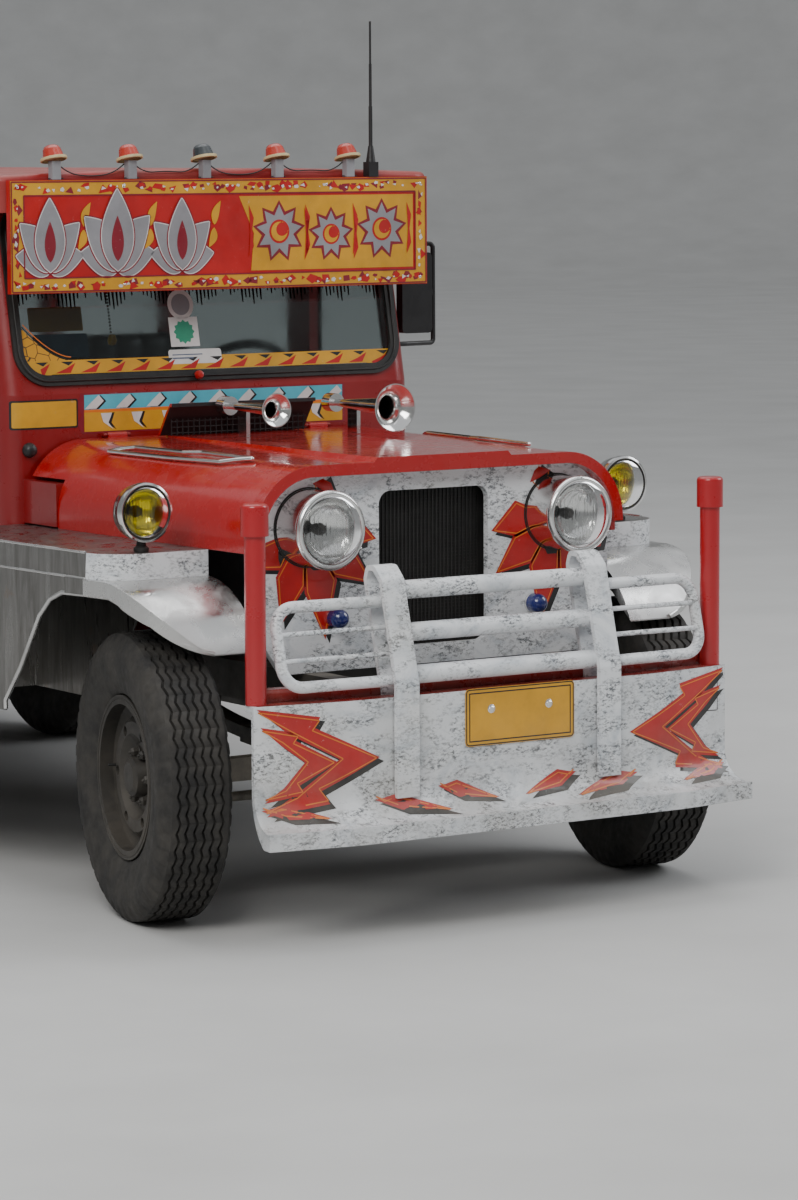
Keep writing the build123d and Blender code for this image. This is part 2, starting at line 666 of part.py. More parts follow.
def hood_surface(x, station):
    """The height of the hood's outside at a place, beside the raised band."""
    share = (station - HOOD_FRONT) / (HOOD_REAR - HOOD_FRONT)
    half = HOOD_FRONT_HALF + share * (HOOD_REAR_HALF - HOOD_FRONT_HALF)
    top = HOOD_FRONT_TOP + share * (HOOD_REAR_TOP - HOOD_FRONT_TOP)
    past_flat = max(0, abs(x) - (half - HOOD_CORNER_R))
    return top - HOOD_CORNER_R + sqrt(HOOD_CORNER_R ** 2 - past_flat ** 2)


def hood_trim():
    """An angular chrome moulding loop on each shoulder of the hood, just clear of the skin."""
    r = TRIM_R
    x0 = HOOD_FRONT_HALF - HOOD_CORNER_R * 0.62
    plan = [(x0 + 46, 640), (x0 + 26, 600), (x0 + 8, 560), (x0 - 4, 330), (x0 - 22, 260), (x0 - 26, 20),
            (x0 - 4, 66), (x0 + 16, 110), (x0 + 32, 330)]
    points = [Vector(x, st(s), hood_surface(x, s) + r + TRIM_GAP) for x, s in plan]
    bars = None
    for start, end in zip(points, points[1:] + points[:1]):
        bar = Plane((start + end) / 2, z_dir=end - start) * Cylinder(r, (end - start).length)
        bar += Pos(*start) * Sphere(r)
        bars = bar if bars is None else bars + bar
    return both(bars)


def hood_vent():
    """A raised air flap near the hood's rear edge, open to the front."""
    low = HOOD_FRONT_TOP + HOOD_BAND_RISE - 0.6
    foot = VENT_FOOT
    lip = foot - 68
    top = low + VENT_RISE
    plate = [(foot, low), (lip, top), (lip - 10, top), (lip - 10, top - 10), (lip, top - 10), (foot - 12, low)]
    flap = side_prism(plate, -VENT_HALF, VENT_HALF)
    cheek = [(foot - 12, low), (lip, top - 10), (lip + 20, top - 22), (foot - 2, low)]
    for side in (-1, 1):
        flap += side_prism(cheek, side * (VENT_HALF - 11), side * VENT_HALF)
    return flap


def horn(x, mouth_s, z, mouth_r, length, seat):
    """A trumpet: a bell that narrows to a pipe, on a small foot that stands at a height."""
    pipe_r = 9
    wall = 3
    throat = mouth_r * 0.36
    flare = mouth_r * 1.1
    with BuildSketch(Plane.XY) as section:
        with BuildLine():
            ThreePointArc((mouth_r, 0), (mouth_r * 0.58, flare * 0.36), (throat, flare))
            Polyline((throat, flare), (pipe_r, length), (pipe_r - wall, length), (throat - wall, flare))
            bend = (mouth_r * 0.58 - wall, flare * 0.36 - wall * 0.4)
            ThreePointArc((throat - wall, flare), bend, (mouth_r - wall, 0))
            Line((mouth_r - wall, 0), (mouth_r, 0))
        make_face()
    bell = revolve(section.sketch, Axis.Y)
    foot = span(x - 6, x + 6, mouth_s + length * 0.62, mouth_s + length * 0.78, seat, z - pipe_r / 2)
    driver = along("Y", 40, 26, x, mouth_s + length + 20, z)
    return Pos(x, st(mouth_s), z) * bell + foot + driver


def horns():
    big = horn(290, 450, 1256, 67, 300, hood_surface(290, 450 + 300 * 0.78) + 0.3)
    small = horn(-77, 480, 1262, 47, 240, HOOD_FRONT_TOP + HOOD_BAND_RISE - 0.2)
    return Compound(list(big.solids()) + list(small.solids()))


def grille_panel():
    flat = GRILLE_HALF - HOOD_CORNER_R + LIP_THICK
    top = HOOD_FRONT_TOP - LIP_THICK - 1
    r = HOOD_CORNER_R - LIP_THICK - 1
    with BuildSketch(Plane.XZ) as face:
        with BuildLine():
            Line((0, top), (flat, top))
            CenterArc((flat, top - r), r, 0, 90)
            Polyline((flat + r, top - r), (flat + r, 760), (470, GRILLE_BOTTOM), (0, GRILLE_BOTTOM), (0, top))
        make_face()
        mirror(about=Plane.YZ)
    panel = Pos(0, st(GRILLE_STATION), 0) * extrude(face.sketch, -GRILLE_THICK)
    inlet_z = (INLET_TOP + INLET_BOTTOM) / 2
    inlet = RectangleRounded(2 * INLET_HALF, INLET_TOP - INLET_BOTTOM, 34)
    cut = Pos(0, st(GRILLE_STATION) + 60, inlet_z) * Rot(90, 0, 0) * extrude(inlet, 200)
    panel -= cut
    for side in (-1, 1):
        panel -= along("Y", 80, HEADLAMP_BUCKET_R - 12, side * HEADLAMP_X, GRILLE_STATION, HEADLAMP_Z)
    return panel


def headlamps():
    """A round bucket that stands proud of the panel, its rim ring and a domed lens."""
    reach = HEADLAMP_REACH
    r = HEADLAMP_BUCKET_R
    with BuildSketch(Plane.XY) as section:
        with BuildLine():
            Polyline((0, 60), (r - 13, 60), (r - 13, -0.3), (r, -0.3), (r - 4, 20 - reach), (r + 3, 14 - reach),
                     (r + 1, -reach), (HEADLAMP_LENS_R, -reach - 3))
            dome(HEADLAMP_LENS_R, -reach - 3, -reach - 17)
            Line((0, -reach - 17), (0, 60))
        make_face()
    lamp = revolve(section.sketch, Axis.Y)
    return both(Pos(HEADLAMP_X, st(GRILLE_STATION), HEADLAMP_Z) * lamp)


def turn_lamps():
    """Bullet-shaped lamps on the grille panel."""
    with BuildSketch(Plane.XY) as section:
        with BuildLine():
            Polyline((0, -0.3), (TURN_LAMP_R, -0.3), (TURN_LAMP_R, -28))
            dome(TURN_LAMP_R, -28, -52)
            Line((0, -52), (0, -0.3))
        make_face()
    lamp = revolve(section.sketch, Axis.Y)
    return both(Pos(TURN_LAMP_X, st(GRILLE_STATION), TURN_LAMP_Z) * lamp)


def fog_lamps():
    """A drum-backed lamp on a short foot on each fender."""
    with BuildSketch(Plane.XY) as section:
        with BuildLine():
            Polyline((0, 52), (FOG_R - 26, 50), (FOG_R - 6, 26), (FOG_R - 3, 0), (FOG_R, -4), (FOG_R, -22),
                     (FOG_R - 9, -24))
            dome(FOG_R - 9, -24, -34)
            Line((0, -34), (0, 52))
        make_face()
    lamp = revolve(section.sketch, Axis.Y)
    seat = FENDER_TOP + 0.3
    foot = along("Z", 26, 20, FOG_X, FOG_STATION + 6, seat + 13)
    stem = span(FOG_X - 11, FOG_X + 11, FOG_STATION - 5, FOG_STATION + 17, seat + 5, FOG_Z - FOG_R + 20)
    return both(Pos(FOG_X, st(FOG_STATION), FOG_Z) * lamp + foot + stem)


def fender_plan(front, corner, inset):
    """The fender from above: straight along the hood, rounded at its outer front corner."""
    inner = FENDER_INNER + inset
    rear = st(FENDER_REAR - inset)
    with BuildSketch(Plane.XY) as face:
        with BuildLine():
            path = FilletPolyline((inner, rear), (FENDER_OUTER_REAR - inset, rear),
                                  (FENDER_OUTER_FRONT - inset, st(front + inset)), (inner, st(front + inset)),
                                  radius=[0.5, corner - inset])
            Line(path @ 1, path @ 0)
        make_face()
    return face.sketch


def fender_nose(inset):
    """The nose: a slope that curves down to a low tip, trimmed to a rounded plan."""
    drop = FENDER_SEAM - NOSE_TIP_Z
    reach = -NOSE_TIP_STATION - inset
    top = FENDER_SEAM - inset
    with BuildSketch(Plane.YZ) as slope:
        with BuildLine():
            arc = ThreePointArc((st(0), top), (st(-reach * 0.56), top - drop * 0.24), (st(-reach), top - drop))
            Polyline(arc @ 1, (st(-reach), ARCH_FLOOR), (st(NOSE_CORNER), ARCH_FLOOR), (st(NOSE_CORNER), top),
                     arc @ 0)
        make_face()
    block = Pos(FENDER_INNER - 10, 0, 0) * extrude(slope.sketch, FENDER_OUTER_REAR - FENDER_INNER + 20)
    plan = fender_plan(NOSE_TIP_STATION, NOSE_CORNER, inset)
    return block & (Pos(0, 0, ARCH_FLOOR) * extrude(plan, FENDER_TOP - ARCH_FLOOR))


def fender():
    """A flat-topped box over the wheel, with a nose that drops forwards and in to a low tip."""
    body = Pos(0, 0, ARCH_FLOOR) * extrude(fender_plan(0, BOX_CORNER, 0), FENDER_TOP - ARCH_FLOOR)
    body += fender_nose(0)
    inside = Pos(0, 0, ARCH_FLOOR - 50) * extrude(fender_plan(0, BOX_CORNER, FENDER_SKIN),
                                                  FENDER_TOP - FENDER_SKIN - ARCH_FLOOR + 50)
    inside += fender_nose(FENDER_SKIN)
    return body - inside - wheel_space()


def wheel_space():
    """Everything under the arch's edge, from the nose tip to the skirt behind the wheel."""
    edge = [(516, 400), (516, 530), (437, 623), (340, 767), (285, 816), (225, 838), (0, 842), (-60, 826),
            (-160, 778), (-260, 690), (-400, 640), (-400, 400)]
    return side_prism(edge, FENDER_INNER - 30, 1000)


def fenders():
    """Each fender is two sheets: the box over the wheel, and the nose that butts against it."""
    whole = fender()
    nose_room = span(FENDER_INNER - 20, 1000, NOSE_TIP_STATION - 20, BOX_CORNER, 400, FENDER_SEAM)
    box_cut = span(FENDER_INNER - 20, 1000, NOSE_TIP_STATION - 20, BOX_CORNER + 0.3, 400, FENDER_SEAM + 0.3)
    sheets = list((whole - box_cut).solids()) + list((whole & nose_room).solids())
    return Compound([s for sheet in sheets for s in both(sheet).solids()])


# Cowl, windscreen and roof


def rake_shift(z):
    """How far back the raked screen lies at a height."""
    return (z - RAKE_Z) * tan(radians(RAKE))


def screen_plane(z=RAKE_Z, proud=0.0):
    """A plane on the raked screen: its X runs across and its Y runs up the slope."""
    s = COWL_STATION + rake_shift(z)
    normal = (0, -cos(radians(RAKE)), sin(radians(RAKE)))
    return Plane((0, st(s), z), x_dir=(1, 0, 0), z_dir=normal).offset(proud)


def screen_length(z0, z1):
    return (z1 - z0) / cos(radians(RAKE))


def cowl_plan():
    r = 55
    with BuildSketch(Plane.XY) as plan:
        with BuildLine():
            FilletPolyline((-COWL_HALF, st(COWL_REAR)), (-COWL_HALF, st(COWL_STATION)), (COWL_HALF, st(COWL_STATION)),
                           (COWL_HALF, st(COWL_REAR)), radius=r)
            inner = COWL_HALF - COWL_WALL
            Line((COWL_HALF, st(COWL_REAR)), (inner, st(COWL_REAR)))
            FilletPolyline((inner, st(COWL_REAR)), (inner, st(COWL_STATION + COWL_WALL)),
                           (-inner, st(COWL_STATION + COWL_WALL)), (-inner, st(COWL_REAR)), radius=r - COWL_WALL + 8)
            Line((-inner, st(COWL_REAR)), (-COWL_HALF, st(COWL_REAR)))
        make_face()
    return plan.sketch


def cowl():
    """The scuttle and windscreen wall, with a pin between two round-nosed ears for each hood hinge."""
    low = Pos(0, 0, COWL_BOTTOM) * extrude(cowl_plan(), RAKE_Z - COWL_BOTTOM)
    lean = (0, sin(radians(RAKE)), cos(radians(RAKE)))
    high = Pos(0, 0, RAKE_Z) * extrude(cowl_plan(), screen_length(RAKE_Z, BODY_TOP), dir=lean)
    shell = low + high
    slope = screen_length(GLASS_BOTTOM, GLASS_TOP)
    hole = RectangleRounded(2 * (GASKET_HALF - GASKET_WIDTH * 0.6), slope - GASKET_WIDTH * 1.2, GLASS_CORNER_R - 12)
    cut = screen_plane((GLASS_BOTTOM + GLASS_TOP) / 2, 60) * extrude(hole, -200)
    shell -= cut
    for side in (-1, 1):
        bulge = [(744, HOOD_SKIRT_Z + 4), (COWL_STATION + 4, HOOD_SKIRT_Z + 4), (COWL_STATION + 4, 1070), (744, 1070)]
        shell += side_prism(bulge, side * (HOOD_REAR_HALF - 40), side * (HOOD_REAR_HALF - 2))
        shell += along("X", 2 * HINGE_HALF + 24, HINGE_PIN_R, side * HINGE_X, HOOD_REAR, HINGE_Z)
        for end in (-1, 1):
            x = side * HINGE_X + end * (HINGE_HALF + 6)
            half = EAR_THICK / 2
            shell += along("X", EAR_THICK, EAR_R, x, HOOD_REAR, HINGE_Z)
            shell += span(x - half, x + half, HOOD_REAR, COWL_STATION + 2, HINGE_Z - EAR_R, HINGE_Z + EAR_R)
    return shell


def windscreen_gasket():
    slope = screen_length(GLASS_BOTTOM, GLASS_TOP)
    plane = screen_plane((GLASS_BOTTOM + GLASS_TOP) / 2, 0.3)
    outer = RectangleRounded(2 * GASKET_HALF, slope, GLASS_CORNER_R)
    bore_r = GLASS_CORNER_R - GASKET_WIDTH
    inner = RectangleRounded(2 * (GASKET_HALF - GASKET_WIDTH), slope - 2 * GASKET_WIDTH, bore_r)
    return plane * extrude(outer - inner, GASKET_PROUD)


def windscreen_glass():
    slope = screen_length(GLASS_BOTTOM, GLASS_TOP) - 1.2 * GASKET_WIDTH - 1
    pane = RectangleRounded(2 * (GASKET_HALF - GASKET_WIDTH * 0.6) - 1, slope, GLASS_CORNER_R - 12.5)
    return screen_plane((GLASS_BOTTOM + GLASS_TOP) / 2, -GLASS_THICK) * extrude(pane, GLASS_THICK)


def sign_board():
    """The destination board: bowed forward a little, on two brackets from the roof's front edge."""
    rear = ROOF_FRONT - 4
    front = rear - SIGN_THICK
    with BuildSketch(Plane.XY) as plan:
        with BuildLine():
            a = ThreePointArc((-SIGN_HALF, st(front)), (0, st(front - SIGN_BOW)), (SIGN_HALF, st(front)))
            b = ThreePointArc((SIGN_HALF, st(rear)), (0, st(rear - SIGN_BOW)), (-SIGN_HALF, st(rear)))
            Line(a @ 1, b @ 0)
            Line(b @ 1, a @ 0)
        make_face()
    board = Pos(0, 0, SIGN_Z0) * extrude(plan.sketch, SIGN_Z1 - SIGN_Z0)
    for x in (-480, 480):
        board += span(x - 20, x + 20, rear - 12, ROOF_FRONT - 0.3, 1820, 1870)
    return board


def body_plan(half, front_half, front, rear, r_front, r_rear):
    """A plan outline that flares from the windscreen's width to the body's width."""
    with BuildSketch(Plane.XY) as plan:
        with BuildLine():
            FilletPolyline((-front_half, st(front)), (-half, st(FLARE_END)), (-half, st(rear)), (half, st(rear)),
                           (half, st(FLARE_END)), (front_half, st(front)), close=True,
                           radius=[r_front, 200, r_rear, r_rear, 200, r_front])
        make_face()
    return plan.sketch


def crown(drop):
    """The roof's arched top as a solid below it."""
    half = ROOF_HALF + 10
    with BuildSketch(Plane.XZ) as section:
        with BuildLine():
            ThreePointArc((-half, ROOF_EDGE_Z - drop), (0, ROOF_CROWN_Z - drop), (half, ROOF_EDGE_Z - drop))
            Polyline((half, ROOF_EDGE_Z - drop), (half, ROOF_BASE_Z), (-half, ROOF_BASE_Z), (-half, ROOF_EDGE_Z - drop))
        make_face()
    return Pos(0, st(ROOF_REAR + 200), 0) * extrude(section.sketch, ROOF_REAR - ROOF_FRONT + 400)


def roof():
    """An arched skin over the body and, under its edge, a drip rim that hangs outside the walls."""
    outer = body_plan(ROOF_HALF, ROOF_FRONT_HALF, ROOF_FRONT, ROOF_REAR, 60, 90)
    seat = BODY_TOP + 0.3
    block = Pos(0, 0, seat) * extrude(outer, 200)
    block = block & crown(0)
    top_edges = [e for e in block.edges() if e.center().Z > ROOF_EDGE_Z - 12]
    block = fillet(top_edges, 18)
    bay = span(-BODY_HALF + 60, BODY_HALF - 60, FLARE_END + 60, BODY_REAR - 60, ROOF_BASE_Z, ROOF_CROWN_Z + 84) & crown(22)
    wall = ROOF_WALL
    inside = body_plan(ROOF_HALF - wall, ROOF_FRONT_HALF - wall, ROOF_FRONT + wall, ROOF_REAR - wall, 44, 74)
    rim = Pos(0, 0, ROOF_RIM_Z) * extrude(outer - inside, BODY_TOP - ROOF_RIM_Z)
    return Compound(list((block - bay).solids()) + list(rim.solids()))


def roof_lamps():
    """Small marker lamps in a row on the board's top edge: a teardrop lens and its ring on a square post."""
    lamps = []
    for k in range(5):
        x = ROOF_LAMP_MID + (k - 2) * ROOF_LAMP_PITCH
        z = SIGN_Z1 + 0.3
        base = span(x - 14, x + 14, 862, 890, z, z + 52)
        tilt = Pos(x, st(880), z + 52) * Rot(-12, 0, 0)
        ring = tilt * extrude(Ellipse(34, 47), 9)
        lens = tilt * loft([Pos(0, 0, 8) * Ellipse(27, 38), Pos(0, 5, 32) * Ellipse(23, 31),
                            Pos(0, 9, 44) * Ellipse(14, 20)])
        lamps += list((base + ring + lens).solids())
    return Compound(lamps)


def antenna():
    """A whip in three stages on a block and a tapered rubber foot."""
    x = ANTENNA_X
    z = SIGN_Z1 + 0.3
    base = span(x - 16, x + 16, 860, 891, z, z + 42)
    foot = Pos(x, st(876), z + 42) * Cone(14, 7, 46, align=(Align.CENTER, Align.CENTER, Align.MIN))
    whip = base + foot
    for low, length, r in ((80, 120, 5.5), (190, 130, 4.2), (310, 130, 3.2)):
        whip += along("Z", length, r, x, 876, z + low + length / 2)
    return whip


def body_side():
    """The left side: the flared cab side, in sheets about its open entry, then the windowed body side."""
    inner = WALL

    def strip(x0, s0, x1, s1):
        """A wall in plan between two points, thickened inwards."""
        length = sqrt((x1 - x0) ** 2 + (s1 - s0) ** 2)
        nx = -(s1 - s0) / length
        ns = (x1 - x0) / length
        outside = [(x0, st(s0)), (x1, st(s1))]
        return outside + [(x + nx * inner, y + ns * inner) for x, y in reversed(outside)]

    flare = make_face(Polyline(*strip(COWL_HALF, COWL_REAR + 0.3, BODY_HALF, FLARE_END), close=True))
    low = Pos(0, 0, BODY_BOTTOM) * extrude(flare, RAKE_Z - BODY_BOTTOM)
    lean = (0, sin(radians(RAKE)), cos(radians(RAKE)))
    high = Pos(0, 0, RAKE_Z) * extrude(flare, screen_length(RAKE_Z, BODY_TOP), dir=lean)
    straight = span(BODY_HALF - inner, BODY_HALF, FLARE_END - 12, CAB_REAR, BODY_BOTTOM, BODY_TOP)
    front_cut = [(FLARE_END - 100, RAKE_Z), (FLARE_END + 1, RAKE_Z), (FLARE_END + rake_shift(BODY_TOP) + 1, BODY_TOP),
                 (FLARE_END - 100, BODY_TOP)]
    straight -= side_prism(front_cut, BODY_HALF - inner - 20, BODY_HALF + 20)
    cab = low + high + straight
    door = [(DOOR_FRONT, DOOR_SILL), (DOOR_REAR, DOOR_SILL), (DOOR_REAR, DOOR_TOP),
            (DOOR_FRONT + rake_shift(DOOR_TOP), DOOR_TOP), (DOOR_FRONT, RAKE_Z)]
    cab -= side_prism(door, COWL_HALF - 40, BODY_HALF + 20)
    for z in (DOOR_SILL, DOOR_TOP):
        cab -= span(COWL_HALF - 60, BODY_HALF + 20, COWL_REAR - 20, CAB_REAR + 20, z, z + 0.3)
    rear = BODY_REAR - WALL - 0.3
    panel = span(BODY_HALF - inner, BODY_HALF, CAB_REAR + 0.3, rear, BODY_BOTTOM, WAIST_Z)
    panel -= along("X", 300, ARCH_R, BODY_HALF, WHEELBASE, TYRE_R)
    band = span(BODY_HALF - inner, BODY_HALF, CAB_REAR + 0.3, rear, WAIST_Z + 0.3, BODY_TOP)
    for s0, s1 in WINDOWS:
        band -= side_window(s0, s1, SILL_Z, WINDOW_TOP, WINDOW_R, BODY_HALF - 80, BODY_HALF + 20)
    return [cab, panel, band]


def side_panels():
    """A side's sheets: sill, two posts and header of the cab, the panel with the wheel's arch, the window band."""
    return Compound([s for sheet in body_side() for s in both(sheet).solids()])


def rear_frame():
    """The rear wall: a tall open entry between two small windows."""
    wall = span(-BODY_HALF, BODY_HALF, BODY_REAR - WALL, BODY_REAR, BODY_BOTTOM + 80, BODY_TOP)
    wall = fillet([e for e in wall.edges().filter_by(Axis.Z) if e.center().Y > st(BODY_REAR - 1)], 30)
    wall -= span(-ENTRY_HALF, ENTRY_HALF, BODY_REAR - 80, BODY_REAR + 40, FLOOR_TOP + 2, ENTRY_TOP)
    face = RectangleRounded(REAR_WINDOW_WIDTH, WINDOW_TOP - SILL_Z, WINDOW_R)
    for side in (-1, 1):
        place = Pos(side * REAR_WINDOW_X, st(BODY_REAR + 40), (SILL_Z + WINDOW_TOP) / 2)
        wall -= place * Rot(90, 0, 0) * extrude(face, 200)
    return wall


def floor():
    edge = BODY_HALF - WALL - 0.3
    z0 = FLOOR_TOP - FLOOR_THICK
    narrow = COWL_HALF - COWL_WALL - 0.3
    back = BODY_REAR - WALL - 0.3
    left = [(narrow, COWL_STATION + 60), (narrow, COWL_REAR), (narrow - 8, COWL_REAR + 4), (edge - 3, FLARE_END + 8),
            (edge, FLARE_END + 14), (edge, back)]
    plan = left + [(-x, s) for x, s in reversed(left)]
    plate = Pos(0, 0, z0) * extrude(make_face(Polyline(*[(x, st(s)) for x, s in plan], close=True)), FLOOR_THICK)
    for s, half in FLOOR_BEAMS:
        plate += span(-half, half, s - 25, s + 25, RAIL_Z0 + RAIL_HEIGHT + 0.3, z0 + 1)
    for side in (-1, 1):
        plate -= span(side * WHEEL_WELL_X, side * 1000, WHEELBASE - ARCH_R, WHEELBASE + ARCH_R, z0 - 20, 665)
    return plate


def seat_boxes():
    """Hollow boxes: a long bench down each side and one under each front seat."""
    t = BENCH_BOARD
    outer = BODY_HALF - WALL - 0.3
    z0 = FLOOR_TOP + 0.3
    bench = span(BENCH_INNER, outer, BENCH_FRONT, BENCH_REAR, z0, BENCH_TOP)
    bench -= span(BENCH_INNER + t, outer + 5, BENCH_FRONT + t, BENCH_REAR - t, z0 - 5, BENCH_TOP - t)
    boxes = list(both(bench).solids())
    for x0, x1 in ((140, 600), (-640, -140)):
        box = span(x0, x1, 1640, 2060, z0, 900)
        box -= span(x0 + t, x1 - t, 1640 + t, 2060 - t, z0 - 5, 900 - t)
        boxes += list(box.solids())
    return Compound(boxes)


def pad(x0, x1, s0, s1, z0, z1, r=22):
    """A plain cushion with rounded edges."""
    return fillet(span(x0, x1, s0, s1, z0, z1).edges(), r)


def bench_cushions():
    outer = BODY_HALF - WALL - SEAT_GAP
    low = BENCH_TOP + SEAT_GAP
    seat = pad(BENCH_INNER - 10, outer - 85, BENCH_FRONT + 4, BENCH_REAR - 4, low, low + CUSHION)
    back = pad(outer - 75, outer, BENCH_FRONT + 4, BENCH_REAR - 4, low, SILL_Z - 15)
    return Compound(list(both(seat).solids()) + list(both(back).solids()))


def front_seats():
    pads = []
    for x0, x1 in ((140, 600), (-640, -140)):
        pads.append(pad(x0 - 6, x1 + 6, 1630, 2050, 900 + SEAT_GAP, 1010, 30))
        pads.append(pad(x0 + 4, x1 - 4, 2060 + SEAT_GAP, 2152, 700, 1400, 30))
    return Compound([s for p in pads for s in p.solids()])


def steps():
    """Running boards under the front entries and the step across the back."""
    outer = BODY_HALF - 0.3
    inner = BODY_HALF - BOARD_WIDTH
    bracket = RAIL_Z0 + 10
    board = span(inner, outer, 1010, 1880, BOARD_TOP - BOARD_THICK, BOARD_TOP)
    board += span(inner, inner + STEP_LIP, 1010, 1880, BOARD_TOP - 56, BOARD_TOP - 6)
    for s in (1300, 1750):
        board += span(RAIL_X + RAIL_WIDTH / 2 + 0.3, inner + STEP_LIP, s - 20, s + 20, bracket, bracket + 12)
        board += span(inner - 2, inner + STEP_LIP, s - 20, s + 20, BOARD_TOP - BOARD_THICK, bracket + 12)
    back = span(-STEP_HALF, STEP_HALF, BODY_REAR + 30, STEP_REAR, STEP_TOP - STEP_THICK, STEP_TOP)
    back += span(-STEP_HALF, STEP_HALF, STEP_REAR - STEP_LIP, STEP_REAR, STEP_TOP - 68, STEP_TOP - 8)
    for side in (-1, 1):
        x = side * RAIL_X
        back += span(x - 25, x + 25, RAIL_REAR + 0.3, BODY_REAR + 60, bracket, bracket + 38)
        back += span(x - 25, x + 25, BODY_REAR + 36, BODY_REAR + 60, STEP_TOP - 13, bracket + 38)
    return Compound(list(both(board).solids()) + list(back.solids()))


def grab_rails():
    """Two long hand rails under the roof, on short hangers."""
    x = HAND_RAIL_X
    front = BENCH_FRONT - 30
    rear = BENCH_REAR + 10
    rail = tube([(x, front, HAND_RAIL_SEAT), (x, front, HAND_RAIL_Z), (x, rear, HAND_RAIL_Z), (x, rear, HAND_RAIL_SEAT)],
                HAND_RAIL_R, 40)
    for s in (3200, 4100):
        rail += along("Z", HAND_RAIL_SEAT - HAND_RAIL_Z, 8, x, s, (HAND_RAIL_SEAT + HAND_RAIL_Z) / 2)
    return both(rail)


def tail_lamps():
    lamp = span(500, 640, BODY_REAR + 0.3, BODY_REAR + 34, 980, 1060)
    lamp = fillet(lamp.edges().filter_by(Axis.Y), 16)
    return both(lamp)


def mirrors():
    """A tall mirror on a tube bracket at each windscreen pillar."""
    x0 = COWL_HALF + 0.3
    x1 = 808
    s = 1030
    high = BODY_TOP - 172
    low = high - 290
    top_s = COWL_REAR - 12 + rake_shift(high)
    low_s = COWL_REAR - 12 + rake_shift(low)
    points = [(x0, top_s, high), (x0 + 30, top_s, high), (x1, s, high), (x1, s, low), (x0 + 30, low_s, low),
              (x0, low_s, low)]
    bracket = tube(points, 7, 12)
    head = fillet(span(690, 795, s - 16, s + 16, low + 30, high - 25).edges().filter_by(Axis.Y), 14)
    link = span(790, x1, s - 6, s + 6, low + 140, low + 156)
    return both(bracket + head + link)


def dashboard():
    board = span(-DASH_HALF, DASH_HALF, COWL_STATION + COWL_WALL + 0.3, DASH_REAR, DASH_BOTTOM, DASH_TOP)
    board = fillet([e for e in board.edges().filter_by(Axis.X) if e.center().Y > st(DASH_REAR - 10)], DASH_R)
    cluster = span(WHEEL_X - 140, WHEEL_X + 140, DASH_REAR - 50, DASH_REAR + 25, DASH_TOP - 90, DASH_TOP + 30)
    cluster = fillet(cluster.edges().filter_by(Axis.Y), 20)
    return board + cluster


def wheel_frame():
    """The steering wheel's plane: its normal points up and back at the driver."""
    normal = (0, cos(radians(COLUMN_TILT)), sin(radians(COLUMN_TILT)))
    return Plane((WHEEL_X, st(WHEEL_STATION), WHEEL_Z), x_dir=(1, 0, 0), z_dir=normal)


def steering_wheel():
    rim_ring = Torus(WHEEL_R, WHEEL_RIM_R)
    hub = Pos(0, 0, -30) * Cylinder(38, 44)
    wheel = rim_ring + hub
    for angle in (90, 210, 330):
        spoke = Rot(0, 0, angle) * Pos(WHEEL_R / 2, 0, -12) * Rot(0, -6, 0) * Box(WHEEL_R - 10, 22, 8)
        wheel += spoke
    wheel -= Pos(0, 0, -52) * Cylinder(12.05, 44)
    return wheel_frame() * wheel


def steering_column():
    """The shaft in its jacket, from the steering wheel down to the firewall, hung from the dashboard."""
    plane = wheel_frame()
    top = 64
    foot = 720
    shaft = plane * (Pos(0, 0, -32 - 30) * Cylinder(12, 60))
    jacket = plane * (Pos(0, 0, -(top + foot) / 2) * Cylinder(24, foot - top))
    bracket = span(WHEEL_X - 34, WHEEL_X + 34, 1085, 1150, 950, DASH_BOTTOM - 0.3)
    firewall = span(WHEEL_X - 60, WHEEL_X + 60, COWL_STATION - 200, COWL_STATION + COWL_WALL + 0.3, 600, 1000)
    return shaft + jacket + bracket - firewall


def pedals():
    parts = []
    for x in PEDAL_X:
        firewall = COWL_STATION + COWL_WALL + 0.3
        arm = tube([(x, firewall, 1050), (x, 1040, 1050), (x, 1060, 860), (x, 1150, 790)], 7, 40)
        arm += Pos(x, st(1156), 786) * Rot(-50, 0, 0) * Box(60, 70, 10)
        parts += list(arm.solids())
    return parts


def gear_lever():
    lever = tube([(60, 1250, FLOOR_TOP + 12), (60, 1290, 860), (80, 1400, 1010)], 8, 120)
    lever += Pos(80, st(1402), 1014) * Sphere(24)
    lever += Pos(60, st(1250), FLOOR_TOP + 0.3 + 15) * Cone(60, 24, 30)
    return lever


def save(name, shape):
    """Writes one sub-part, as one solid or as several that don't touch."""
    found = list(shape.solids())
    export_step(found[0] if len(found) == 1 else Compound(found), f"parts/{name}.step")


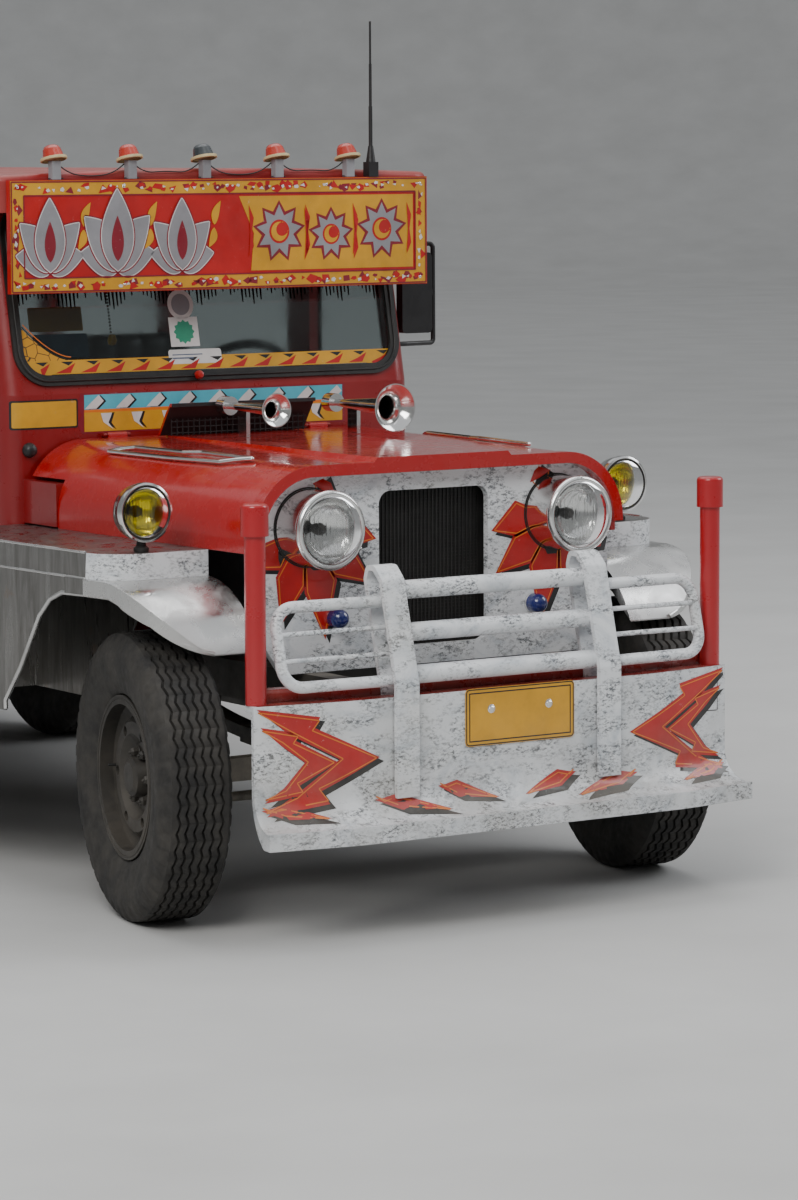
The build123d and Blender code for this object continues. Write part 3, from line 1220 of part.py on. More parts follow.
def main():
    os.makedirs("parts", exist_ok=True)
    save("chassis_frame", chassis_frame())
    save("leaf_springs", leaf_springs())
    fixed = {
        "engine_block": engine_block, "radiator": radiator, "front_axle": front_axle, "rear_axle": rear_axle,
        "prop_shaft": prop_shaft, "exhaust": exhaust, "fuel_tank": fuel_tank, "front_bumper": front_bumper,
        "bull_bar": bull_bar, "bumper_posts": bumper_posts, "grille_panel": grille_panel,
        "headlamps": headlamps, "turn_lamps": turn_lamps, "fenders": fenders, "fog_lamps": fog_lamps,
        "cowl": cowl, "windscreen_gasket": windscreen_gasket, "windscreen_glass": windscreen_glass,
        "dashboard": dashboard, "sign_board": sign_board, "roof": roof, "roof_lamps": roof_lamps,
        "antenna": antenna, "side_panels": side_panels, "rear_frame": rear_frame, "floor": floor,
        "seat_boxes": seat_boxes, "bench_cushions": bench_cushions, "front_seats": front_seats,
        "steps": steps, "grab_rails": grab_rails, "tail_lamps": tail_lamps, "mirrors": mirrors,
        "steering_column": steering_column, "hood": hood, "hood_trim": hood_trim, "hood_vent": hood_vent,
        "horns": horns, "steering_wheel": steering_wheel, "tie_rod": tie_rod,
    }
    for name, make in fixed.items():
        save(name, make())
    save("cab_controls", Compound(pedals() + list(gear_lever().solids())))
    wheel = {"tyre": tyre(), "rim": rim()}
    for side, word in ((1, "left"), (-1, "right")):
        arm = knuckle() if side > 0 else mirrored(knuckle())
        save(f"knuckle_{word}", steered(arm, side))
        for part, shape in wheel.items():
            save(f"{part}_front_{word}", steered(place_wheel(shape, side, 0), side))
            save(f"{part}_rear_{word}", place_wheel(shape, side, WHEELBASE))


main()
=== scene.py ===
import math
import random

import bmesh
import bpy
from mathutils import Matrix, Vector, geometry
from mathutils.bvhtree import BVHTree


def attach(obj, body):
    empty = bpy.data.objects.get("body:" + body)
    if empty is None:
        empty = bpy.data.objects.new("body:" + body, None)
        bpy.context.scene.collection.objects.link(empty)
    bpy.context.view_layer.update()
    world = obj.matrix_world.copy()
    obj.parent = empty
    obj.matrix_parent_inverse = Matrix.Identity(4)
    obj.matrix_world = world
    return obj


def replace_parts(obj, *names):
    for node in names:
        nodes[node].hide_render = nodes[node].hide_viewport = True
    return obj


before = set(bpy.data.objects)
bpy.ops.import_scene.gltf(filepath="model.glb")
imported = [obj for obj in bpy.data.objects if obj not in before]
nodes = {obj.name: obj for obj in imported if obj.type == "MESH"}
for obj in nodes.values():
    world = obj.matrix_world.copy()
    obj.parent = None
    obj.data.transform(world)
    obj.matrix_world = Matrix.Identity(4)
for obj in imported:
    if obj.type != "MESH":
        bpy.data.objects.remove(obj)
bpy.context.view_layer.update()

# A station is a distance behind the front axle, in millimetres
FRONT_AXLE_Y = -2375.0
WHEELBASE = 3200.0
TYRE_R = 0.3725


def P(x, s, z):
    """A point from millimetres across, behind the front axle, and up."""
    return Vector((x / 1000, (FRONT_AXLE_Y + s) / 1000, z / 1000))


# Materials


class Graph:
    """A material's node tree, with short calls for the nodes that most surfaces share."""

    def __init__(self, name, rough=0.5, metal=0.0, coat=0.0, coat_rough=0.08):
        self.mat = bpy.data.materials.new(name)
        self.mat.use_nodes = True
        self.nt = self.mat.node_tree
        self.bsdf = self.nt.nodes["Principled BSDF"]
        self.bsdf.inputs["Roughness"].default_value = rough
        self.bsdf.inputs["Metallic"].default_value = metal
        self.bsdf.inputs["Coat Weight"].default_value = coat
        self.bsdf.inputs["Coat Roughness"].default_value = coat_rough
        self.bsdf.inputs["IOR"].default_value = 1.5
        self.coord = self.nt.nodes.new("ShaderNodeTexCoord").outputs["Object"]

    def put(self, socket, value):
        """Links an output to a socket, or sets the socket's own value."""
        if isinstance(value, bpy.types.NodeSocket):
            self.nt.links.new(value, socket)
        elif socket.type == "RGBA":
            socket.default_value = (*value, 1.0)
        else:
            socket.default_value = value

    def node(self, kind, inputs, **settings):
        """A new node with its settings and inputs; gives its outputs."""
        made = self.nt.nodes.new("ShaderNode" + kind)
        for word, value in settings.items():
            setattr(made, word, value)
        for socket, value in inputs.items():
            self.put(made.inputs[socket], value)
        return made.outputs

    def stretch(self, scale, turn=(0, 0, 0)):
        return self.node("Mapping", {"Rotation": turn, "Scale": scale, "Vector": self.coord})["Vector"]

    def noise(self, scale, detail=4, rough=0.55, distort=0.0, vector=None):
        inputs = {"Scale": scale, "Detail": detail, "Roughness": rough, "Distortion": distort,
                  "Vector": vector or self.coord}
        return self.node("TexNoise", inputs)["Fac"]

    def cells(self, scale, feature):
        return self.node("TexVoronoi", {"Scale": scale, "Vector": self.coord}, feature=feature)["Distance"]

    def fit(self, value, low, high, out_low=0.0, out_high=1.0):
        """Maps the range from low to high onto another, and holds it there."""
        inputs = {"Value": value, "From Min": low, "From Max": high, "To Min": out_low, "To Max": out_high}
        return self.node("MapRange", inputs)["Result"]

    def math(self, operation, a, b):
        return self.node("Math", {0: a, 1: b}, operation=operation)["Value"]

    def times(self, a, b):
        return self.math("MULTIPLY", a, b)

    def mix(self, share, a, b):
        return self.node("Mix", {"Factor": share, 6: a, 7: b}, data_type="RGBA")[2]

    def up(self):
        """How much the surface faces up, from -1 to 1."""
        normal = self.node("NewGeometry", {})["Normal"]
        return self.node("SeparateXYZ", {0: normal})["Z"]

    def height(self):
        return self.node("SeparateXYZ", {0: self.coord})["Z"]

    def bump(self, value, strength, distance):
        """Adds a bump over the ones that are already there."""
        inputs = {"Strength": strength, "Distance": distance, "Height": value}
        shading = self.bsdf.inputs["Normal"]
        if shading.is_linked:
            inputs["Normal"] = shading.links[0].from_socket
        self.put(shading, self.node("Bump", inputs)["Normal"])

    def soften(self, radius):
        """Rounds the sharp edges as the light sees them."""
        self.put(self.bsdf.inputs["Normal"], self.node("Bevel", {"Radius": radius}, samples=4)["Normal"])

    def color(self, value):
        self.put(self.bsdf.inputs["Base Color"], value)

    def rough(self, value):
        self.put(self.bsdf.inputs["Roughness"], value)

    def dirt(self, base, dust=0.35, low=0.95, low_amount=0.5, tone=(0.30, 0.27, 0.22)):
        """Dust on what faces up, and road dirt that thickens towards the ground."""
        patches = self.noise(7.0, 5, 0.65)
        top = self.times(self.fit(self.up(), 0.25, 0.95), self.fit(patches, 0.35, 0.75))
        near_ground = self.times(self.fit(self.height(), low, 0.30), self.fit(patches, 0.30, 0.62))
        amount = self.math("ADD", self.times(top, dust), self.times(near_ground, low_amount))
        return self.mix(self.math("MINIMUM", amount, 0.9), base, tone)


def car_paint(name, color, faded_and_sky_tint, rough=0.28, coat=0.55, dust=0.25, low_amount=0.5, chips=(0.22, 0.20, 0.19)):
    g = Graph(name, rough=rough, coat=coat, coat_rough=0.10)
    g.soften(0.003)
    base = g.mix(g.fit(g.noise(2.3, 5, 0.6), 0.38, 0.72), color, faded_and_sky_tint)
    # Painted sky reflection: surfaces that face up are mixed towards the second, paler colour, standing in
    # for the sky's light on them; elsewhere that colour only mottles the paint at random
    painted_sky_sheen = g.times(g.fit(g.up(), 0.55, 1.0), 0.45)
    base = g.mix(painted_sky_sheen, base, faded_and_sky_tint)
    spots = g.times(g.fit(g.noise(38, 6, 0.72), 0.70, 0.73), g.fit(g.noise(3.2, 3), 0.48, 0.60))
    base = g.mix(g.times(spots, 0.8), base, chips)
    g.color(g.dirt(base, dust, 0.95, low_amount))
    g.rough(g.fit(g.noise(14, 6, 0.7), 0.3, 0.75, rough - 0.06, rough + 0.22))
    g.bump(g.noise(5.5, 3, 0.5), 0.35, 0.006)
    g.bump(g.noise(260, 3, 0.6), 0.06, 0.0006)
    return g.mat


def marble(name, low=0.75, low_amount=0.35, dust=0.2):
    """White brushed paint with clouds of grey-blue and black flecks."""
    g = Graph(name, rough=0.42, coat=0.25, coat_rough=0.2)
    g.soften(0.003)
    slant = g.stretch((5, 5, 8), (0, math.radians(35), 0))
    veil = g.fit(g.noise(1.0, 7, 0.68, 1.2, slant), 0.50, 0.70)
    zone = g.fit(g.noise(1.3, 6, 0.62, 1.6, slant), 0.42, 0.60)
    brushed = g.noise(1.0, 4, 0.8, 0.0, g.stretch((78, 78, 150), (0, math.radians(35), 0)))
    flecks = g.times(g.fit(brushed, 0.48, 0.58), zone)
    base = g.mix(g.times(veil, 0.62), (0.78, 0.80, 0.82), (0.34, 0.40, 0.46))
    base = g.mix(g.times(flecks, 0.88), base, (0.030, 0.040, 0.050))
    base = g.mix(g.times(g.fit(g.noise(3.0, 4), 0.55, 0.8), 0.25), base, (0.52, 0.47, 0.36))
    g.color(g.dirt(base, dust, low, low_amount, (0.24, 0.22, 0.19)))
    g.rough(g.fit(g.noise(20, 5, 0.7), 0.3, 0.7, 0.32, 0.55))
    g.bump(g.noise(120, 3, 0.5), 0.22, 0.0012)
    g.bump(g.noise(4.0, 3, 0.5), 0.4, 0.006)
    return g.mat


def sheet_metal(name, color=(0.33, 0.325, 0.315), rough=0.16, stain=0.75, streak=(22, 22, 3), dents=0.5,
                rust=0.5):
    """Bare sheet with stains that run down it, rust spots and shallow dents. The default colour is darker
    than bare steel: a painted reflection, standing in for the dark road that the sheet reflects.
    """
    g = Graph(name, rough=rough, metal=1.0)
    g.soften(0.003)
    run = g.noise(1.0, 6, 0.65, 0.6, g.stretch(streak))
    dull = g.fit(run, 0.40, 0.72)
    base = g.mix(g.times(dull, stain), color, (0.085, 0.08, 0.072))
    orange = g.times(g.fit(g.noise(9, 6, 0.7), 0.62, 0.74), rust)
    base = g.mix(orange, base, (0.30, 0.13, 0.04))
    g.color(g.dirt(base, 0.18, 0.9, 0.55, (0.16, 0.145, 0.125)))
    g.rough(g.fit(run, 0.3, 0.75, rough, min(rough + 0.4, 0.75)))
    covered = g.math("ADD", orange, g.times(dull, 0.35))
    g.put(g.bsdf.inputs["Metallic"], g.fit(covered, 0.0, 1.0, 1.0, 0.45))
    g.bump(g.noise(3.4, 3, 0.5, 0.4), dents, 0.010)
    g.bump(g.noise(1.0, 2, 0.5, 0, g.stretch((6, 400, 400))), 0.05, 0.0004)
    return g.mat


def chrome(name, rough=0.07, pits=0.25):
    g = Graph(name, rough=rough, metal=1.0)
    specks = g.times(g.fit(g.noise(90, 6, 0.75), 0.60, 0.68), pits)
    g.color(g.mix(specks, (0.80, 0.80, 0.79), (0.18, 0.13, 0.09)))
    g.rough(g.fit(g.noise(12, 5, 0.7), 0.3, 0.8, rough, rough + 0.16))
    g.bump(g.noise(30, 3, 0.5), 0.05, 0.001)
    return g.mat


def rubber(name, color, dust, rough):
    g = Graph(name, rough=rough)
    patches = g.fit(g.noise(11, 6, 0.7), 0.36, 0.70)
    g.color(g.mix(g.times(patches, dust), color, (0.075, 0.068, 0.058)))
    g.rough(g.fit(g.noise(40, 4, 0.6), 0.3, 0.7, rough - 0.12, rough + 0.15))
    g.bump(g.noise(180, 4, 0.6), 0.25, 0.0008)
    return g.mat


def plain(name, color, rough=0.5, metal=0.0, coat=0.0, vary=0.25, grain=120, grain_depth=0.0006, dust=0.15,
          tone=(0.30, 0.27, 0.22)):
    """A small part's finish: mottled colour, uneven gloss and a fine surface."""
    g = Graph(name, rough=rough, metal=metal, coat=coat)
    darker = tuple(c * (1 - vary) for c in color)
    base = g.mix(g.fit(g.noise(17, 5, 0.65), 0.35, 0.7), color, darker)
    g.color(g.dirt(base, dust, 0.7, dust * 1.4, tone))
    g.rough(g.fit(g.noise(31, 5, 0.65), 0.3, 0.7, max(rough - 0.07, 0.03), rough + 0.12))
    g.bump(g.noise(grain, 3, 0.6), 0.2, grain_depth)
    return g.mat


def see_through(name, color, rough=0.03):
    """Glass with a film of dust; a thin pane, so light passes straight on."""
    g = Graph(name, rough=rough)
    g.bsdf.inputs["Transmission Weight"].default_value = 1.0
    g.color(color)
    film = g.times(g.fit(g.noise(6, 6, 0.7), 0.42, 0.8), 0.5)
    g.rough(g.fit(film, 0.0, 1.0, rough, rough + 0.35))
    return g.mat


def vinyl(name, color, darker):
    g = Graph(name, rough=0.38, coat=0.15, coat_rough=0.3)
    base = g.mix(g.fit(g.noise(5, 5, 0.6), 0.35, 0.7), color, darker)
    cracks = g.fit(g.cells(55, "DISTANCE_TO_EDGE"), 0.0, 0.05, 1.0, 0.0)
    zone = g.fit(g.noise(4, 4), 0.52, 0.66)
    g.color(g.mix(g.times(g.times(cracks, zone), 0.6), base, (0.05, 0.04, 0.035)))
    g.rough(g.fit(g.noise(26, 5, 0.6), 0.3, 0.7, 0.28, 0.52))
    g.bump(g.cells(420, "F1"), 0.18, 0.0006)
    g.bump(g.noise(16, 4, 0.6), 0.3, 0.003)
    return g.mat


def flat_color(name, color, rough=0.4, wear=0.35, under=(0.50, 0.51, 0.52), coat=0.3):
    """Sign enamel laid on another surface: worn through in specks."""
    g = Graph(name, rough=rough, coat=coat)
    shade = tuple(c * 0.72 for c in color)
    base = g.mix(g.fit(g.noise(9, 5, 0.6), 0.35, 0.75), color, shade)
    specks = g.times(g.fit(g.noise(70, 6, 0.75), 0.63, 0.68), g.fit(g.noise(6, 4), 0.42, 0.6))
    base = g.mix(g.times(specks, wear), base, under)
    g.color(g.dirt(base, 0.12, 0.6, 0.25))
    g.rough(g.fit(g.noise(24, 5, 0.65), 0.3, 0.7, rough - 0.1, rough + 0.15))
    g.bump(g.noise(90, 3, 0.5), 0.15, 0.0008)
    return g.mat


# Each paint's second colour is both a random faded tone and the painted sky reflection on surfaces that face
# up
RED = car_paint("red_paint", (0.40, 0.002, 0.003), (0.40, 0.012, 0.010), rough=0.2, coat=0.8, dust=0.12)
RED_DARK = car_paint("red_cab", (0.22, 0.002, 0.004), (0.27, 0.010, 0.010), dust=0.07, low_amount=0.30)
ROOF_PAINT = car_paint("roof_paint", (0.30, 0.012, 0.012), (0.34, 0.055, 0.045), rough=0.42, coat=0.2,
                       dust=0.3)
POST_RED = car_paint("post_red", (0.42, 0.003, 0.008), (0.40, 0.010, 0.014), dust=0.1, low_amount=0.1)
MARBLE = marble("marble_paint")
MARBLE_BAR = marble("marble_bar", low=0.5, low_amount=0.2, dust=0.1)
# Fender sheet: its dark default colour is a painted reflection of the road below
STEEL = sheet_metal("fender_sheet")
STEEL_BRIGHT = sheet_metal("bright_sheet", (0.74, 0.74, 0.73), 0.10, 0.15, (9, 9, 5), 0.30, 0.1)
CHROME = chrome("chrome")
CHROME_DARK = chrome("chrome_dark", 0.16, 0.6)
TYRE = rubber("tyre_rubber", (0.016, 0.0155, 0.015), 0.6, 0.75)
GASKET = rubber("gasket_rubber", (0.010, 0.010, 0.010), 0.25, 0.42)
BLACK_PLASTIC = plain("black_plastic", (0.016, 0.016, 0.017), 0.42)
CHASSIS = plain("chassis_black", (0.022, 0.021, 0.020), 0.55, dust=0.5, vary=0.4)
RIM_PAINT = plain("rim_paint", (0.040, 0.038, 0.035), 0.5, 0.3, dust=0.6, vary=0.5,
                  tone=(0.085, 0.075, 0.062))
ENGINE = plain("cast_engine", (0.09, 0.09, 0.095), 0.6, 0.4, dust=0.5, grain=60, grain_depth=0.002)
RUSTY = plain("rusty_pipe", (0.16, 0.085, 0.05), 0.75, 0.5, dust=0.4, vary=0.5)
FLOOR_PLATE = plain("floor_plate", (0.12, 0.12, 0.125), 0.5, 0.6, dust=0.6)
BOARD = plain("painted_board", (0.20, 0.055, 0.04), 0.5, dust=0.3)
GREY_INSIDE = plain("inside_paint", (0.42, 0.41, 0.38), 0.45, dust=0.2)
GLASS = see_through("window_glass", (0.34, 0.40, 0.40))
LENS = see_through("clear_lens", (0.95, 0.96, 0.96), 0.02)
YELLOW_LENS = see_through("yellow_lens", (0.95, 0.80, 0.02), 0.02)
ORANGE_LENS = plain("orange_lens", (0.50, 0.030, 0.010), 0.22, coat=0.6, vary=0.15, dust=0.05)
DARK_LENS = plain("dark_lens", (0.035, 0.045, 0.050), 0.3, coat=0.4, dust=0.1)
RED_LENS = plain("red_lens", (0.45, 0.010, 0.012), 0.15, coat=0.8, vary=0.2, dust=0.05)
BLUE_LENS = plain("blue_lens", (0.012, 0.022, 0.16), 0.15, coat=0.8, vary=0.3, dust=0.05)
CREAM = plain("cream_plastic", (0.62, 0.50, 0.26), 0.5, dust=0.2)
REFLECTOR = chrome("reflector", 0.05, 0.05)
VINYL = vinyl("seat_vinyl", (0.24, 0.022, 0.022), (0.13, 0.012, 0.014))
VINYL_DARK = vinyl("seat_vinyl_dark", (0.035, 0.032, 0.032), (0.02, 0.018, 0.018))
D_RED = flat_color("enamel_red", (0.52, 0.005, 0.004), coat=0.5)
D_BLACK = flat_color("enamel_black", (0.010, 0.010, 0.011))
D_ORANGE = flat_color("enamel_orange", (0.80, 0.20, 0.015))
D_YELLOW = flat_color("enamel_yellow", (0.70, 0.36, 0.018))
D_WHITE = flat_color("enamel_white", (0.74, 0.74, 0.72))
D_GREY = flat_color("enamel_grey", (0.30, 0.31, 0.33))
D_CYAN = flat_color("enamel_cyan", (0.09, 0.52, 0.66))
D_CRIMSON = flat_color("enamel_crimson", (0.25, 0.010, 0.025))
D_GREEN = flat_color("enamel_green", (0.03, 0.33, 0.19))
PLATE_YELLOW = flat_color("plate_yellow", (0.72, 0.36, 0.012), under=(0.3, 0.25, 0.15))
CARD_BLUE = flat_color("card_blue", (0.12, 0.16, 0.24))
CARD_ORANGE = flat_color("card_orange", (0.72, 0.36, 0.10))
MIRROR = chrome("mirror_silver", 0.03, 0.02)

FINISHES = (
    (CHASSIS, "chassis_frame leaf_springs front_axle rear_axle prop_shaft tie_rod knuckle_left"),
    (CHASSIS, "knuckle_right fuel_tank steps radiator"),
    (ENGINE, "engine_block"), (RUSTY, "exhaust"), (MARBLE, "front_bumper grille_panel"),
    (MARBLE_BAR, "bull_bar"), (POST_RED, "bumper_posts"), (STEEL, "fenders"), (RED, "hood hood_vent"),
    (CHROME, "headlamps fog_lamps hood_trim horns grab_rails"), (BLUE_LENS, "turn_lamps"),
    (RED_DARK, "cowl side_panels rear_frame"), (ROOF_PAINT, "roof"), (ORANGE_LENS, "roof_lamps"),
    (GASKET, "windscreen_gasket"), (GLASS, "windscreen_glass"), (D_RED, "sign_board"),
    (BLACK_PLASTIC, "dashboard antenna mirrors steering_column cab_controls steering_wheel"),
    (FLOOR_PLATE, "floor"), (BOARD, "seat_boxes"), (VINYL, "bench_cushions"),
    (VINYL_DARK, "front_seats"), (RED_LENS, "tail_lamps"))
CAD_FINISH = {name: finish for finish, names in FINISHES for name in names.split()}
for name, obj in nodes.items():
    finish = CAD_FINISH.get(name, TYRE if name.startswith("tyre") else RIM_PAINT)
    for slot in obj.material_slots:
        slot.material = finish
    if not obj.material_slots:
        obj.data.materials.append(finish)


# Mesh helpers


def placed(name, data, material, body):
    """A new object in the scene that rides on a body."""
    obj = bpy.data.objects.new(name, data)
    bpy.context.scene.collection.objects.link(obj)
    data.materials.append(material)
    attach(obj, body)
    return obj


def mesh_object(name, verts, faces, material, body="body", smooth=True):
    """A mesh piece from its vertices in metres."""
    mesh = bpy.data.meshes.new(name)
    mesh.from_pydata([tuple(v) for v in verts], [], faces)
    mesh.update()
    if smooth:
        mesh.shade_smooth()
    return placed(name, mesh, material, body)


def sharpen(obj, degrees=35):
    """Marks the edges sharper than an angle, so that the rest shade smooth."""
    bm = bmesh.new()
    bm.from_mesh(obj.data)
    limit = math.radians(degrees)
    for e in bm.edges:
        if len(e.link_faces) == 2 and e.calc_face_angle(0) > limit:
            e.smooth = False
    bm.to_mesh(obj.data)
    bm.free()
    return obj


def circle(r, n):
    """Points of a circle about the origin, anticlockwise."""
    return [(r * math.cos(2 * math.pi * k / n), r * math.sin(2 * math.pi * k / n)) for k in range(n)]


def revolved(profile, origin, axis, steps):
    """(verts, faces) of (radius, distance along the axis) points turned about an axis."""
    axis = Vector(axis).normalized()
    side = axis.orthogonal().normalized()
    other = axis.cross(side)
    verts, faces, rings = [], [], []
    for r, d in profile:
        count = steps if r > 1e-6 else 1
        rings.append([len(verts) + k % count for k in range(steps)])
        verts += [origin + axis * d + side * u + other * v for u, v in circle(r, steps)[:count]]
    for a, b in zip(rings, rings[1:]):
        for k in range(steps):
            ahead = (k + 1) % steps
            face = list(dict.fromkeys((a[k], a[ahead], b[ahead], b[k])))
            if len(face) > 2:
                faces.append(face)
    return verts, faces


def lathe(name, profile, origin, axis, material, body="body", steps=48):
    """A turned piece with its sharp edges kept."""
    return sharpen(mesh_object(name, *revolved(profile, origin, axis, steps), material, body), 38)


def join_meshes(name, parts, material, body="body", smooth=True):
    """One object from several (verts, faces) lists."""
    verts, faces = [], []
    for part_verts, part_faces in parts:
        start = len(verts)
        verts += part_verts
        faces += [[i + start for i in f] for f in part_faces]
    return mesh_object(name, verts, faces, material, body, smooth)


def dome_head(place, normal, r, h, steps=10, hexagon=False):
    """A bolt's or rivet's head as (verts, faces)."""
    rings = [(r, 0), (r * 0.92, h * 0.45), (r * 0.55, h * 0.86), (0, h)]
    if hexagon:
        steps = 6
        rings = [(r, 0), (r, h * 0.7), (r * 0.7, h), (0, h)]
    return revolved(rings, place, normal, steps)


def heads(name, places, normal, r, h, material, hexagon=False):
    """A set of bolts or rivets on the fixed body."""
    parts = [dome_head(p, normal, r, h, 10, hexagon) for p in places]
    return join_meshes(name, parts, material, "body", not hexagon)


def rod(name, points, radius, material, body="body", closed=False, smooth=False):
    """A round bar or wire along points."""
    curve = bpy.data.curves.new(name, "CURVE")
    curve.dimensions = "3D"
    curve.bevel_depth = radius
    curve.bevel_resolution = 4
    curve.resolution_u = 8
    curve.use_fill_caps = True
    spline = curve.splines.new("NURBS" if smooth else "POLY")
    spline.points.add(len(points) - 1)
    for p, co in zip(spline.points, points):
        p.co = (*co, 1)
    if smooth:
        spline.order_u = 3
        spline.use_endpoint_u = True
    spline.use_cyclic_u = closed
    return placed(name, curve, material, body)


def box_mesh(x0, x1, s0, s1, z0, z1):
    """A box as (verts, faces), from its limits in millimetres."""
    verts = [P(x, s, z) for x in (x0, x1) for s in (s0, s1) for z in (z0, z1)]
    faces = [[0, 1, 3, 2], [4, 6, 7, 5], [0, 4, 5, 1], [2, 3, 7, 6], [0, 2, 6, 4], [1, 5, 7, 3]]
    return verts, faces


def bevelled(name, boxes, material, width=0.002, body="body"):
    """Bars and blocks with softened edges."""
    obj = join_meshes(name, boxes, material, body)
    mod = obj.modifiers.new("soft_edges", "BEVEL")
    mod.width = width
    mod.segments = 2
    mod.harden_normals = True
    return obj


# Painted shapes draped on a surface


def tree_of(name):
    """A CAD piece's surface, for rays."""
    mesh = nodes[name].data
    corners = [v.co.copy() for v in mesh.vertices]
    return BVHTree.FromPolygons(corners, [list(p.vertices) for p in mesh.polygons])


def sides_of(outline):
    """The two end points of each side of a closed outline."""
    return list(zip(outline, outline[1:] + outline[:1]))


def inside(point, outline):
    """Whether a flat point lies in an outline, by the sides that a line to its right crosses."""
    x, y = point
    hit = False
    for (x0, y0), (x1, y1) in sides_of(outline):
        if (y0 > y) != (y1 > y) and x < (x1 - x0) * (y - y0) / (y1 - y0) + x0:
            hit = not hit
    return hit


def filled(outline, step):
    """Triangles inside an outline, small enough to bend over a curved surface."""
    edge = []
    for (x0, y0), (x1, y1) in sides_of(outline):
        n = max(1, int(math.hypot(x1 - x0, y1 - y0) / step))
        edge += [(x0 + (x1 - x0) * k / n, y0 + (y1 - y0) * k / n) for k in range(n)]
    xs = [p[0] for p in edge]
    ys = [p[1] for p in edge]
    points = list(edge)
    for i in range(1, int((max(xs) - min(xs)) / step) + 1):
        for j in range(1, int((max(ys) - min(ys)) / step) + 1):
            p = (min(xs) + i * step, min(ys) + j * step)
            if inside(p, edge) and min(math.hypot(p[0] - q[0], p[1] - q[1]) for q in edge) > step * 0.45:
                points.append(p)
    loop = list(range(len(edge)))
    out = geometry.delaunay_2d_cdt([Vector(p) for p in points], [], [loop], 1, 1e-7)
    return [tuple(v) for v in out[0]], [list(f) for f in out[2]]


def drape(name, outlines, surface, lift, material, step=30, from_top=False):
    """Lays flat (x, z) outlines, or (x, station) ones from the top, a little proud of a surface."""
    parts = []
    for outline in outlines:
        points, triangles = filled(outline, step)
        verts = []
        for a, b in points:
            start = P(a, b, 2600) if from_top else P(a, -900, b)
            ray = Vector((0, 0, -1) if from_top else (0, 1, 0))
            hit, normal, _, _ = surface.ray_cast(start, ray)
            if hit is None:
                hit, normal, _, _ = surface.find_nearest(start + ray)
            if normal.dot(ray) > 0:
                normal = -normal
            verts.append(hit + normal * lift / 1000)
        parts.append((verts, triangles))
    return join_meshes(name, parts, material)


def mirrored(outline):
    """The outline on the vehicle's other side, with its points in the same turning order."""
    return [(-x, z) for x, z in reversed(outline)]


def ribbon(points, width):
    """A thin band's outline along a line of points."""
    left, right = [], []
    for k, (x, z) in enumerate(points):
        a = points[max(k - 1, 0)]
        b = points[min(k + 1, len(points) - 1)]
        dx, dz = b[0] - a[0], b[1] - a[1]
        n = math.hypot(dx, dz)
        left.append((x - dz / n * width / 2, z + dx / n * width / 2))
        right.append((x + dz / n * width / 2, z - dx / n * width / 2))
    return left + right[::-1]


# Tyres with their tread, and the wheels' small parts

SIDES = ((1, "left"), (-1, "right"))
REST_STEER = -11.0
KINGPIN_X = 650.0
TRACK = 1500.0
TYRE_STEPS = 288
# The tyre's outside from its bead to the tread's edge as (distance outboard, radius), and its grooves
SIDEWALL = ((71.7, 214), (76, 218), (80, 226), (84, 232), (88, 246), (92.5, 264), (95.6, 284), (96.3, 300),
            (97.2, 303), (96.9, 318), (95.2, 330), (93.4, 338), (92.2, 344), (88.6, 353.2), (82.0, 362.5),
            (75.0, 369.4))
GROOVES = (57.0, 34.5, 11.5)


def wheel_matrix(side, front):
    """From a wheel drawn about the origin, outboard towards plus X, to its place on the axle."""
    flip = Matrix.Diagonal((side, 1, 1, 1))
    place = Matrix.Translation(P(side * TRACK / 2, 0 if front else WHEELBASE, TYRE_R * 1000))
    if not front:
        return place @ flip
    pin = Matrix.Translation(P(side * KINGPIN_X, 0, 0))
    return pin @ Matrix.Rotation(math.radians(REST_STEER), 4, "Z") @ pin.inverted() @ place @ flip


def groove_wander(k):
    """How far a groove lies to one side at one step round the tyre, in millimetres."""
    phase = (k * 48 / TYRE_STEPS) % 1
    return 4.4 * (abs(phase - 0.5) * 4 - 1)


def tyre_rows():
    """(distance outboard, radius, whether it wanders) round the outside from bead to bead."""
    rows = [(x, r, False) for x, r in SIDEWALL]
    for g in GROOVES:
        for across, r in ((3.9, 371.6), (2.3, 361.5), (-2.3, 361.5), (-3.9, 371.9)):
            rows.append((g + across, r, True))
    return rows + [(-x, r, wanders) for x, r, wanders in reversed(rows)]


def tyre(name, side, place, body):
    """The outside of a tyre, with zigzag grooves, cut ribs and notched shoulders."""
    rows = tyre_rows()
    verts, faces = [], []
    for k in range(TYRE_STEPS):
        angle = 2 * math.pi * k / TYRE_STEPS
        notch = k % 6 in (0, 1)
        for x, r, wanders in rows:
            if wanders:
                x += groove_wander(k)
                r -= 3.0 if r > 370 and k % 6 == 3 else 0
            elif notch and 350 < r < 368:
                r -= 6.0
            elif notch and 337 < r < 346:
                x = math.copysign(abs(x) - 2.6, x)
            elif not notch and 300 < r < 346:
                x = math.copysign(min(abs(x) + 0.2, 97.3), x)
            verts.append(place @ Vector((x / 1000, r * math.cos(angle) / 1000, r * math.sin(angle) / 1000)))
    n = len(rows)
    for k in range(TYRE_STEPS):
        a = k * n
        b = ((k + 1) % TYRE_STEPS) * n
        for j in range(n - 1):
            quad = [a + j, a + j + 1, b + j + 1, b + j]
            faces.append(quad if side > 0 else quad[::-1])
    return sharpen(mesh_object(name, verts, faces, TYRE, body), 28)


